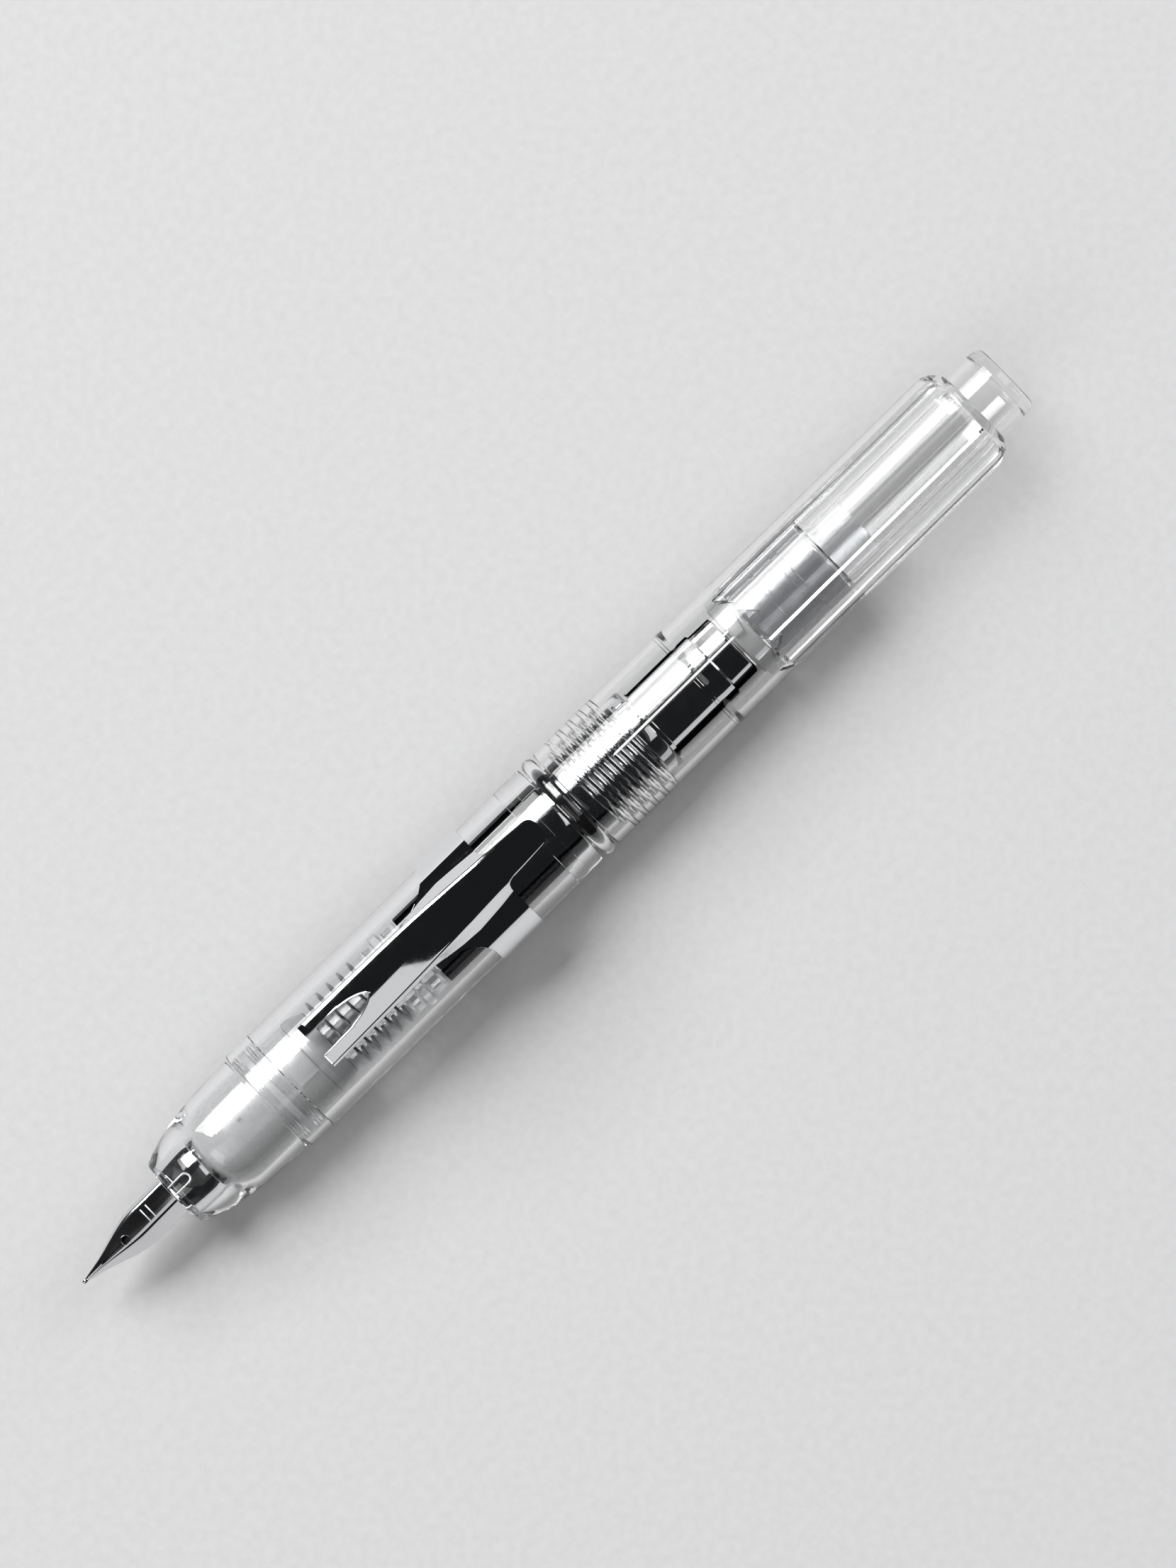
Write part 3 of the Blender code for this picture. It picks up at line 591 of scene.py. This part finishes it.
FLARE = curve_through([(-20.5, 2.95), (-19.0, 3.0), (-17.6, 3.25), (-16.2, 3.75), (-15.0, 4.45), (-14.1, 5.25), (-13.5, 6.1)], 26)
for side in (-1, 1):
    edge = [(-36.6, side * 3.10), (-35.6, side * 3.10)] + [(x, side * (read(ARM_W, x) + 0.22)) for x in np.linspace(-35, -21.0, 12)]
    edge += [(x, side * y) for x, y in FLARE] + [(-13.5, side * 9.5), (-36.6, side * 9.5)]
    bool_cut(clip, prism(edge, -9.5, 10.5))
    tail_curve = [(-7.30, side * 3.0), (-7.26, side * 2.75), (-7.1, side * 2.42), (-6.8, side * 2.20)]
    tail_curve += [(x, side * (read(ARM_W, x) + 0.20)) for x in np.linspace(-6.3, -1.5, 8)]
    tail_curve += [(-1.4 + 1.3 * math.sin(a), side * (0.45 + 1.3 * math.cos(a))) for a in np.linspace(0.12, math.pi / 2, 10)]
    tail_curve += [(-0.1, 0.0), (1.0, 0.0), (1.0, side * 9.5), (-7.30, side * 9.5)]
    bool_cut(clip, prism(tail_curve, -9.5, 10.5))
fork = [(-36.6, -1.50), (-35.4, -1.52), (-33.0, -1.50), (-31.0, -1.38), (-29.5, -1.18), (-28.3, -0.86), (-27.4, -0.44), (-26.9, 0.0)]
fork = fork + [(x, -y) for x, y in fork[-2::-1]]
fork_x = curve_through([(p[1], p[0]) for p in fork[1:-1]], 40)      # (y, x)
bool_cut(clip, prism([(-36.8, -1.5)] + [(x, y) for y, x in fork_x] + [(-36.8, 1.5)], 5.0, 10.5))
bool_cut(clip, prism([(-37.0, -4.0), (-35.55, -4.0), (-35.55, 4.0), (-37.0, 4.0)], 5.0, 10.5))
clip.data.shade_smooth()
clip.data.set_sharp_from_angle(angle=math.radians(45))
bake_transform(clip)
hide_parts("clip_band", "clip_arm")


def on_crown(x, y):
    return (x, y, read(CROWN, x) - y * y / (2 * CROWN_RHO) - 0.03)


fork_rim = [on_crown(-35.45, -1.5)] + [on_crown(x, y) for y, x in fork_x] + [on_crown(-35.45, 1.5)]
rim = tube_along("clip_fork_rim", fork_rim, 0.11, CHROME, None, sides=10)
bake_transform(rim)



def curved_block(name, x0, x1, turn0, turn1, r0, r1, mat, body, bevel=0.06, count=10):
    """A block lying on a cylinder, between two angles from the top (positive towards -Y)."""
    bm = bmesh.new()
    rings = []
    for x in (x0, x1):
        ring = []
        for t in np.linspace(turn0, turn1, count):
            ring.append((r1, math.radians(t)))
        for t in np.linspace(turn1, turn0, count):
            ring.append((r0, math.radians(t)))
        rings.append([bm.verts.new((x * MM, -r * MM * math.sin(a), AXIS + r * MM * math.cos(a))) for r, a in ring])
    n = len(rings[0])
    for j in range(n):
        bm.faces.new((rings[0][j], rings[0][(j + 1) % n], rings[1][(j + 1) % n], rings[1][j]))
    bm.faces.new(rings[0][::-1])
    bm.faces.new(rings[1])
    bmesh.ops.recalc_face_normals(bm, faces=bm.faces)
    edges = [e for e in bm.edges if e.calc_face_angle(0.0) > math.radians(40)]
    bmesh.ops.bevel(bm, geom=edges, offset=bevel * MM, segments=3, affect="EDGES", profile=0.5)
    obj = finish_mesh(bm, name, mat, 40)
    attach(obj, body)
    return obj


curved_block("chamber_pad", -39.85, -37.1, -20.5, 21.5, 5.05, 5.32, MILKY, "front", 0.08, 16)
curved_block("chamber_pip", -47.75, -47.2, -7.2, -2.4, 5.0, 5.36, MILKY, "front", 0.2, 4)
for k, turn in enumerate((-50, 50, -130, 130)):
    curved_block(f"mouth_lug_{k}", -58.97, -57.9, turn - 11, turn + 11, 3.5, 3.82, SATIN, "front", 0.1, 8)

# =============================================================================
# nib carriage
# =============================================================================
NIB_W = [(-72.9, 0.17), (-72.0, 0.38), (-71.0, 0.60), (-70.1, 0.82), (-69.0, 1.16), (-67.7, 1.60), (-66.6, 1.95), (-65.8, 2.16),
         (-64.9, 2.34), (-63.8, 2.43), (-62.5, 2.45), (-49.6, 2.45)]
NIB_TOP = [(-72.9, 0.44), (-70.1, 0.86), (-67.7, 1.28), (-65.0, 1.72), (-61.5, 2.15), (-58.5, 2.40), (-56.0, 2.44), (-49.6, 2.44)]
NIB_EDGE = [(-72.9, 0.20), (-71.5, 0.08), (-70.0, -0.08), (-67.7, -0.24), (-64.0, -0.20), (-60.0, -0.08), (-49.6, 0.0)]
W_FINE, TOP_FINE, EDGE_FINE = (curve_through(t, 160) for t in (NIB_W, NIB_TOP, NIB_EDGE))


NIB_SECTION = [(-1.0, 0.0), (-0.98, 0.06), (-0.90, 0.19), (-0.78, 0.38), (-0.66, 0.56), (-0.54, 0.74), (-0.44, 0.88), (-0.39, 0.94),
               (-0.33, 0.975), (-0.25, 0.992), (0.0, 1.0), (0.3, 1.0), (0.55, 0.998), (0.70, 0.987), (0.72, 0.983), (0.74, 0.965), (0.80, 0.915), (0.87, 0.825), (0.93, 0.66), (0.98, 0.38), (1.0, 0.0)]
_sec = np.array(NIB_SECTION)
_len = np.concatenate([[0], np.cumsum(np.hypot(*np.diff(_sec, axis=0).T))])


def nib_point(x, a, thick):
    w, top_z, edge = read(W_FINE, x), read(TOP_FINE, x), read(EDGE_FINE, x)
    thick = min(thick, 0.6 * w, 0.8 * (top_z - edge))
    t = (1 - a / math.pi) * _len[-1]
    y = float(np.interp(t, _len, _sec[:, 0]))
    z = float(np.interp(t, _len, _sec[:, 1]))
    return ((w - thick) * y, edge + (top_z - edge - thick) * z)


nib_x = list(np.linspace(-72.9, -60.0, 90)) + list(np.linspace(-59.7, -49.6, 24))
bm = bmesh.new()
rows = 60
rings = []
for x in nib_x:
    ring = [nib_point(x, math.pi * i / rows, 0.0) for i in range(rows + 1)]
    ring += [nib_point(x, math.pi * i / rows, 0.24) for i in range(rows, -1, -1)]
    rings.append([bm.verts.new((x * MM, y * MM, AXIS + z * MM)) for y, z in ring])
count = len(rings[0])
for a, b in zip(rings, rings[1:]):
    for k in range(count):
        j = (k + 1) % count
        bm.faces.new((a[k], a[j], b[j], b[k]))
bm.faces.new(rings[0][::-1])
bm.faces.new(rings[-1])
nib = finish_mesh(bm, "nib_blade", STEEL, 50.0)
bool_cut(nib, prism([(-73.4, -0.045), (-66.4, -0.045), (-66.4, 0.045), (-73.4, 0.045)], -1.0, 4.0))
bool_cut(nib, prism(disc_outline(-66.3, 0.0, 0.52), -1.0, 4.0))
nib.data.shade_smooth()
nib.data.set_sharp_from_angle(angle=math.radians(50))
settle(nib, "carriage", ["nib"])

hole_z = read(TOP_FINE, -66.3)
rim = tube_along("breather_rim", [(-66.3 + 0.54 * math.cos(a), 0.54 * math.sin(a), hole_z + 0.0) for a in np.linspace(0, 2 * math.pi, 33)],
                 0.06, WIRE, "carriage", sides=8)
# two plain etched bars on the blade
for k, x in enumerate((-62.75, -61.95)):
    z = read(TOP_FINE, x)
    bm = bmesh.new()
    bmesh.ops.create_cube(bm, size=1.0)
    for v in bm.verts:
        v.co = Vector((x + v.co.x * 0.16, 0.30 + v.co.y * 1.9, z + v.co.z * 0.05)) * MM + Vector((0, 0, AXIS))
    bmesh.ops.bevel(bm, geom=list(bm.edges), offset=0.02 * MM, segments=2, affect="EDGES", profile=0.5)
    bar = finish_mesh(bm, f"etched_bar_{k}", ETCH, 40)
    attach(bar, "carriage")

bm = bmesh.new()
bmesh.ops.create_uvsphere(bm, u_segments=32, v_segments=20, radius=0.36 * MM)
bmesh.ops.scale(bm, vec=(1.25, 0.85, 0.85), verts=bm.verts)
bmesh.ops.translate(bm, vec=(-72.85 * MM, 0, AXIS + 0.30 * MM), verts=bm.verts)
pellet = finish_mesh(bm, "tipping_pellet", STEEL, 80)
settle(pellet, "carriage", ["nib_pellet"])

# feed with fins across its belly
FEED_DEPTH = [(-70.4, 0.15), (-68.0, 0.85), (-64.5, 1.55), (-60.5, 2.2), (-57.5, 2.4), (-46.0, 2.4)]
bm = bmesh.new()
rings = []
feed_x = list(np.linspace(-70.2, -64.0, 20)) + list(np.linspace(-63.8, -49.0, 120))
for x in feed_x:
    half = read(W_FINE, x) - 0.30
    top_z = read(TOP_FINE, x) - 0.42
    depth = read(FEED_DEPTH, x)
    fin = 0.28 * (0.5 + 0.5 * math.tanh(8 * math.sin(2 * math.pi * x / 0.62))) if -63.0 < x < -52 else 0.0
    ring = []
    for i in range(17):
        a = math.pi * i / 16
        ring.append((-half * math.cos(a), max(0.04, top_z * math.sin(a)) - 0.12))
    for i in range(1, 16):
        a = math.pi * i / 16
        belly = min(read(W_FINE, x) - 0.1, 2.38)
        side = (half + (belly - half) * min(1.0, max(0.0, (x + 65.0) / 2.0)))
        ring.append(((side - fin) * math.cos(a), -0.2 - max(0.03, (depth - 0.2 - fin)) * math.sin(a)))
    rings.append([bm.verts.new((x * MM, y * MM, AXIS + z * MM)) for y, z in ring])
count = len(rings[0])
for a, b in zip(rings, rings[1:]):
    for k in range(count):
        j = (k + 1) % count
        bm.faces.new((a[k], a[j], b[j], b[k]))
bm.faces.new(rings[0][::-1])
bm.faces.new(rings[-1])
feed = finish_mesh(bm, "ink_feed", FEED_BLACK, 35)
settle(feed, "carriage", ["feed"])

turned("nib_holder_tube", rounded([(-55.0, 2.72), (-54.85, 2.88), (-20.2, 2.88), (-20.2, 1.1), (-48.5, 1.1), (-48.5, 2.62), (-55.0, 2.62)], 0.06),
       SMOKE, "carriage", ["nib_holder"], segs=96)
collar = turned("carriage_cage", rounded([
    (-24.9, 4.8), (-23.2, 4.8), (-23.05, 5.3), (-22.1, 5.3), (-21.95, 4.8), (-19.8, 4.8), (-19.8, 3.95), (-24.9, 3.95)], 0.08),
    CLEAR_INNER, None)
for k in range(4):
    for x0, x1 in ((-24.5, -23.55), (-21.55, -20.3)):
        window = prism([(x0, -1.3), (x1, -1.3), (x1, 1.3), (x0, 1.3)], 3.2, 6.0)
        window.data.transform(Matrix.Translation((0, 0, AXIS)) @ Matrix.Rotation(math.radians(45 + 90 * k), 4, "X") @ Matrix.Translation((0, 0, -AXIS)))
        bool_cut(collar, window)
collar.data.set_sharp_from_angle(angle=math.radians(40))
settle(collar, "carriage", ["carriage_collar"])
turned("piercing_needle", rounded([(-23.0, 0.85), (-16.6, 0.85), (-15.8, 0.55), (-15.8, 0.35), (-23.0, 0.35)], 0.05), GREY, "carriage", ["piercing_tube"], segs=48)
turned("inner_tube_front", rounded([(-19.5, 4.88), (14.7, 4.88), (14.7, 3.85), (-19.5, 3.85)], 0.15), TUBE_CHROME, "carriage", ["inner_tube"])
tail_end = turned("inner_tube_tail", rounded([
    (14.95, 4.6), (17.2, 4.6), (17.2, 4.45), (26.6, 4.45), (26.8, 4.1), (29.85, 4.05, 0.25), (30.0, 3.6), (30.0, 1.5),
    (28.6, 1.5), (28.6, 2.9), (26.4, 2.9), (26.2, 3.75), (14.95, 3.75)], 0.08), TAIL_CHROME, None)
for k in range(2):
    bm = bmesh.new()
    bmesh.ops.create_cube(bm, size=1.0)
    for v in bm.verts:
        v.co = Vector((15.2 if v.co.x < 0 else 17.05, -1.35 if v.co.y < 0 else 1.35, 4.2 if v.co.z < 0 else 4.8)) * MM
    bmesh.ops.bevel(bm, geom=list(bm.edges), offset=0.12 * MM, segments=3, affect="EDGES", profile=0.5)
    bmesh.ops.rotate(bm, cent=(0, 0, 0), matrix=Matrix.Rotation(math.radians(120 + 180 * k), 3, "X"), verts=bm.verts)
    bmesh.ops.translate(bm, vec=(0, 0, AXIS), verts=bm.verts)
    lug = finish_mesh(bm, f"bayonet_lug_{k}", CHROME, 40)
    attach(lug, "carriage")
settle(tail_end, "carriage", ["tube_tail"])
turned("cartridge_body", rounded([
    (-17.2, 2.3), (-15.0, 2.3), (-14.2, 3.5), (23.5, 3.5), (24.6, 2.6), (24.6, 0.5), (23.7, 0.5), (23.2, 3.1),
    (-13.8, 3.1), (-14.4, 1.9), (-16.6, 1.9), (-16.6, 1.05), (-17.2, 1.05)], 0.1), MILKY, "carriage", ["ink_cartridge"], segs=64)

# return spring: stretches between the seat and the carriage
path = []
turns = 5
for k in range(turns * 40 + 1):
    a = 2 * math.pi * k / 40
    path.append((-33.5 + 8.1 * k / (turns * 40), 4.78 * math.sin(a), -4.78 * math.cos(a)))
spring = tube_along("return_spring_coil", path, 0.27, WIRE, None, sides=12, flat=0.7)
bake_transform(spring)
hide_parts("return_spring")

# =============================================================================
# rear half
# =============================================================================
ring_profile = [(3.75 + 0.85 * math.cos(t), 6.45 + 0.70 * math.sin(t)) for t in np.linspace(0, 2 * math.pi, 28, endpoint=False)]
ring_profile = [(x, max(r, 5.82)) for x, r in ring_profile]
turned("joint_bead", ring_profile, CLEAR, "ring", ["centre_ring"], sharp=60)
# painted shade: a near-black ring inside the clear bead, standing in for the dark that the bead's lens shows
core = turned("bead_shade_ring", rounded([(3.32, 5.66), (3.32, 5.78), (4.18, 5.78), (4.18, 5.66)], 0.03), SHADE_BLACK, "ring")

RIB_C = math.radians(20.5)
rib_top, rib_foot = math.radians(9.2), math.radians(10.4)
angles = []
for k in range(6):
    # angle from the bottom; the rib's own angle is counted from the top towards -Y
    c = math.pi + RIB_C + k * math.pi / 3
    angles += [c - rib_foot, c - rib_top, c - rib_top * 0.5, c, c + rib_top * 0.5, c + rib_top, c + rib_foot]
    span = math.pi / 3 - 2 * rib_foot
    angles += [c + rib_foot + span * t for t in np.linspace(0, 1, 18)[1:-1]]
angles = sorted(a % (2 * math.pi) for a in angles)


def rib_share(a):
    """1 on a rib's crest, 0 in the grooves."""
    d = (a - math.pi - RIB_C + math.pi / 6) % (math.pi / 3) - math.pi / 6
    return 1.0 if abs(d) < (rib_top + rib_foot) / 2 else 0.0


def rib_front(a):
    d = (a - math.pi - RIB_C + math.pi / 6) % (math.pi / 3) - math.pi / 6
    return 32.4 + max(-1.0, min(1.0, d / rib_top)) * 0.8      # slanted front


REAR_OUT = [(4.9, 6.8), (4.93, 6.9), (5.0, 6.97), (5.15, 7.0), (5.4, 7.0), (6.4, 7.0), (15.0, 6.97), (16.0, 6.962), (48.0, 6.715), (52.0, 6.70), (64.6, 6.70), (65.3, 6.70), (65.6, 6.70), (66.0, 6.66), (66.5, 6.52),
            (67.0, 6.25), (67.4, 5.95), (67.8, 5.55), (68.0, 5.3), (68.1, 5.12)]
REAR_IN = [(4.9, 6.15), (23.80, 6.15), (23.84, 6.07), (24.2, 6.07), (24.24, 6.15), (24.5, 6.15), (24.9, 5.9), (66.85, 5.9), (66.9, 4.95),
           (68.05, 4.95), (68.1, 4.99)]


def rear_inner(x, a):
    base = read(REAR_IN, x)
    if x < 18.0:
        return base - 0.34 * ridge(x, a, THREAD_X0 + PITCH / 2)
    front = rib_front(a)
    if rib_share(a) and x > front + 0.02 and x < 66.84:
        return 5.3
    return base


before = [4.9, 5.0]
coil = helix_rows(5.2, 15.2)
after = [18.0, 19.0, 23.3, 23.80, 23.84, 24.2, 24.24, 24.5, 24.9, 25.3, 26.3, 30.0, 30.8, lambda a: rib_front(a) - 0.01, lambda a: rib_front(a) + 0.06,
         34.0, 35.0, 50.0, 65.8, 66.5, 66.83, 66.87, 66.9, 68.05, 68.1]
shell("rear_barrel_shell", [p[0] for p in REAR_OUT], before + coil + after, lambda x, a: read(REAR_OUT, x), rear_inner,
      CLEAR_REAR, "rear", ["rear_barrel"], angles, inner_helix=(len(before), len(before) + len(coil) - 1))

# two plain printed lines along the barrel
for k, (turn, x0, x1) in enumerate(((-7.0, 11.4, 30.6), (1.0, 11.4, 30.6))):
    bm = bmesh.new()
    rows = []
    half = 0.14
    centre = math.radians(turn)
    for x in np.linspace(x0, x1, 60):
        r0 = read(REAR_OUT, x)
        cap = min(1.0, math.sqrt(max(0.0, 1 - (1 - min(1.0, (x - x0) / half)) ** 2)), math.sqrt(max(0.0, 1 - (1 - min(1.0, (x1 - x) / half)) ** 2)))
        h = half * max(0.15, cap) / r0
        ring = []
        for t in (-1, -0.5, 0, 0.5, 1):
            ring.append((r0 + 0.028, centre + h * t))
        for t in (1, 0.5, 0, -0.5, -1):
            ring.append((r0 + 0.004, centre + h * t))
        rows.append([bm.verts.new((x * MM, -r * MM * math.sin(a), AXIS + r * MM * math.cos(a))) for r, a in ring])
    n = len(rows[0])
    for a, b in zip(rows, rows[1:]):
        for j in range(n):
            bm.faces.new((a[j], a[(j + 1) % n], b[(j + 1) % n], b[j]))
    bm.faces.new(rows[0][::-1])
    bm.faces.new(rows[-1])
    stripe = finish_mesh(bm, f"printed_line_{k}", PRINT, 60)
    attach(stripe, "rear")

rotor = turned("rotor_ring", rounded([(30.3, 4.65), (30.5, 4.9), (32.6, 4.9), (32.6, 3.75), (30.3, 3.75)], 0.08), FROST, None)
settle(rotor, "knock", ["rotor"])
for k in range(6):
    bm = bmesh.new()
    bmesh.ops.create_cube(bm, size=1.0)
    for v in bm.verts:
        slant = 0.7 if (v.co.x > 0 and v.co.y < 0) else 0.0
        v.co = Vector((30.6 if v.co.x < 0 else 32.5 - slant, -1.1 if v.co.y < 0 else 1.1, 4.6 if v.co.z < 0 else 5.55)) * MM
    bmesh.ops.bevel(bm, geom=list(bm.edges), offset=0.1 * MM, segments=2, affect="EDGES", profile=0.5)
    bmesh.ops.rotate(bm, cent=(0, 0, 0), matrix=Matrix.Rotation(RIB_C + math.pi / 3 * (k + 0.5), 3, "X"), verts=bm.verts)
    bmesh.ops.translate(bm, vec=(0, 0, AXIS), verts=bm.verts)
    lug = finish_mesh(bm, f"rotor_lug_{k}", FROST, 40)
    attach(lug, "knock")

sleeve = turned("cam_sleeve_shell", rounded([
    (32.9, 4.9), (36.4, 4.9), (36.5, 4.82), (36.9, 4.82), (37.0, 4.9), (39.6, 4.9), (39.65, 4.78), (40.55, 4.78), (40.6, 4.9),
    (43.85, 4.9), (43.85, 4.35), (32.9, 4.35)], 0.05), SLEEVE, None)
for k in range(3):
    a = RIB_C + 2 * math.pi * (k + 0.5) / 6
    saw = prism([(32.0, -1.2), (33.0, -1.2), (34.6, 0.6), (33.6, 1.2), (32.0, 1.2)], -6.0, 6.0)
    saw.data.transform(Matrix.Translation((0, 0, AXIS)) @ Matrix.Rotation(a, 4, "X") @ Matrix.Translation((0, 0, -AXIS)))
    bool_cut(sleeve, saw)
sleeve.data.set_sharp_from_angle(angle=math.radians(40))
settle(sleeve, "knock", ["cam_sleeve"])

turned("push_core_tube", rounded([(33.2, 3.3), (49.6, 3.3), (49.6, 2.7), (33.2, 2.7)], 0.1), CLEAR_INNER, "knock", ["push_core"])
turned("button_tube", rounded([
    (40.6, 4.05), (44.1, 4.05), (44.1, 4.65), (72.2, 4.65, 0.8), (73.3, 4.25, 0.55), (73.3, 0.0), (71.8, 0.0), (71.8, 3.85, 0.3),
    (44.5, 3.85, 0.1), (44.3, 3.6, 0.1), (40.6, 3.6)], 0.08), CLEAR_REAR, "knock", ["knock_button"])

# shutter parts keep their CAD shape
for node, mat in (("shutter_lid", FROST), ("shutter_pin", STEEL)):
    for slot in NODES[node].material_slots:
        slot.material = mat

# =============================================================================
# stage
# =============================================================================
floor_mat, nt, sh, out = nodes_of("floor_paper")
coord = add(nt, "ShaderNodeTexCoord")
noise = add(nt, "ShaderNodeTexNoise")
noise.inputs["Scale"].default_value = 900.0
noise.inputs["Detail"].default_value = 3.0
ramp = add(nt, "ShaderNodeValToRGB")
ramp.color_ramp.elements[0].position = 0.3
ramp.color_ramp.elements[1].position = 0.7
ramp.color_ramp.elements[0].color = (0.620, 0.620, 0.624, 1)
ramp.color_ramp.elements[1].color = (0.660, 0.660, 0.664, 1)
nt.links.new(coord.outputs["Object"], noise.inputs["Vector"])
nt.links.new(noise.outputs["Fac"], ramp.inputs["Fac"])
nt.links.new(ramp.outputs["Color"], sh.inputs["Base Color"])
sh.inputs["Roughness"].default_value = 0.85
sh.inputs["Specular IOR Level"].default_value = 0.2
bm = bmesh.new()
bmesh.ops.create_grid(bm, x_segments=2, y_segments=2, size=2.5)
floor = finish_mesh(bm, "floor", floor_mat, 30)
floor.location.z = -0.00002

target = Vector((7.13 * MM, 0.25 * MM, AXIS))


def area(name, where, size_x, size_y, power, along=(1, 0, 0)):
    light = bpy.data.lights.new(name, "AREA")
    light.shape = "RECTANGLE"
    light.size, light.size_y = size_x, size_y
    light.energy = power
    obj = bpy.data.objects.new(name, light)
    bpy.context.scene.collection.objects.link(obj)
    where = Vector(where)
    z = where.normalized()                       # the lamp shines along -z, at the pen
    x = (Vector(along) - z * Vector(along).dot(z)).normalized()
    y = z.cross(x)
    m = Matrix((x, y, z)).transposed().to_4x4()
    m.translation = where
    obj.matrix_world = m
    return obj


KEY_FAR = 2.2


def card(name, x_from, x_to, low, high, far, power, spin=0.0):
    """A soft light seen from the pen between two angles off vertical, towards +Y."""
    mid = math.radians((low + high) / 2)
    tall = 2 * far * math.tan(math.radians((high - low) / 2))
    return area(name, ((x_from + x_to) / 2, math.sin(mid) * far, math.cos(mid) * far), x_to - x_from, tall, power)


card("key_high", -0.60, 0.085, 25, 45, KEY_FAR, 28.8)
card("key_low", -0.60, 0.085, 45, 63, KEY_FAR, 15.0)
card("key_high_gap", 0.085, 0.150, 25, 45, KEY_FAR, 0.87)
card("key_low_gap", 0.085, 0.150, 45, 63, KEY_FAR, 0.45)
card("key_high_end", 0.150, 0.34, 25, 45, KEY_FAR, 5.6)
card("key_low_end", 0.150, 0.34, 45, 63, KEY_FAR, 2.9)
front_card = area("card_front", (-0.651, -0.525, 1.30), 1.10, 1.00, 2.3, along=(1, 0, 0))
_turn = math.atan2(0.155, 1.0)
front_card.matrix_world = Matrix.Translation((-0.651, -0.525, 1.30)) @ Matrix.Rotation(_turn, 4, "Z")
area("fill_front", (-1.60, -0.30, 0.95), 1.0, 1.0, 8.2, along=(0, 1, 0))
area("fill_back", (1.35, -0.10, 0.90), 1.0, 1.0, 8.2, along=(0, 1, 0))

world = bpy.data.worlds.new("room")
world.use_nodes = True
world.node_tree.nodes["Background"].inputs["Color"].default_value = (0.9, 0.95, 1.0, 1)
world.node_tree.nodes["Background"].inputs["Strength"].default_value = 0.012
bpy.context.scene.world = world

scene = bpy.context.scene
scene.view_settings.view_transform = "Standard"
scene.cycles.max_bounces = 32
scene.cycles.transmission_bounces = 32
scene.cycles.glossy_bounces = 12
scene.cycles.transparent_max_bounces = 32
scene.cycles.diffuse_bounces = 5
scene.cycles.caustics_refractive = False
scene.cycles.caustics_reflective = False

cam_data = bpy.data.cameras.new("camera")
cam_data.sensor_fit = "VERTICAL"
cam_data.sensor_height = 36.0
DIST = 1.6
cam_data.lens = 36.0 * DIST / 0.1775
cam_data.clip_start = 0.05
cam_data.clip_end = 20.0
cam = bpy.data.objects.new("camera", cam_data)
scene.collection.objects.link(cam)
tilt, turn = math.radians(5.5), math.radians(44.52)
back = Vector((0.0, -math.sin(tilt), math.cos(tilt)))
across = Vector((0.0, math.cos(tilt), math.sin(tilt)))
right = Vector((1, 0, 0)) * math.cos(turn) - across * math.sin(turn)
up = Vector((1, 0, 0)) * math.sin(turn) + across * math.cos(turn)
m = Matrix((right, up, back)).transposed().to_4x4()
m.translation = target + back * DIST
cam.matrix_world = m
scene.camera = cam

bpy.context.view_layer.update()
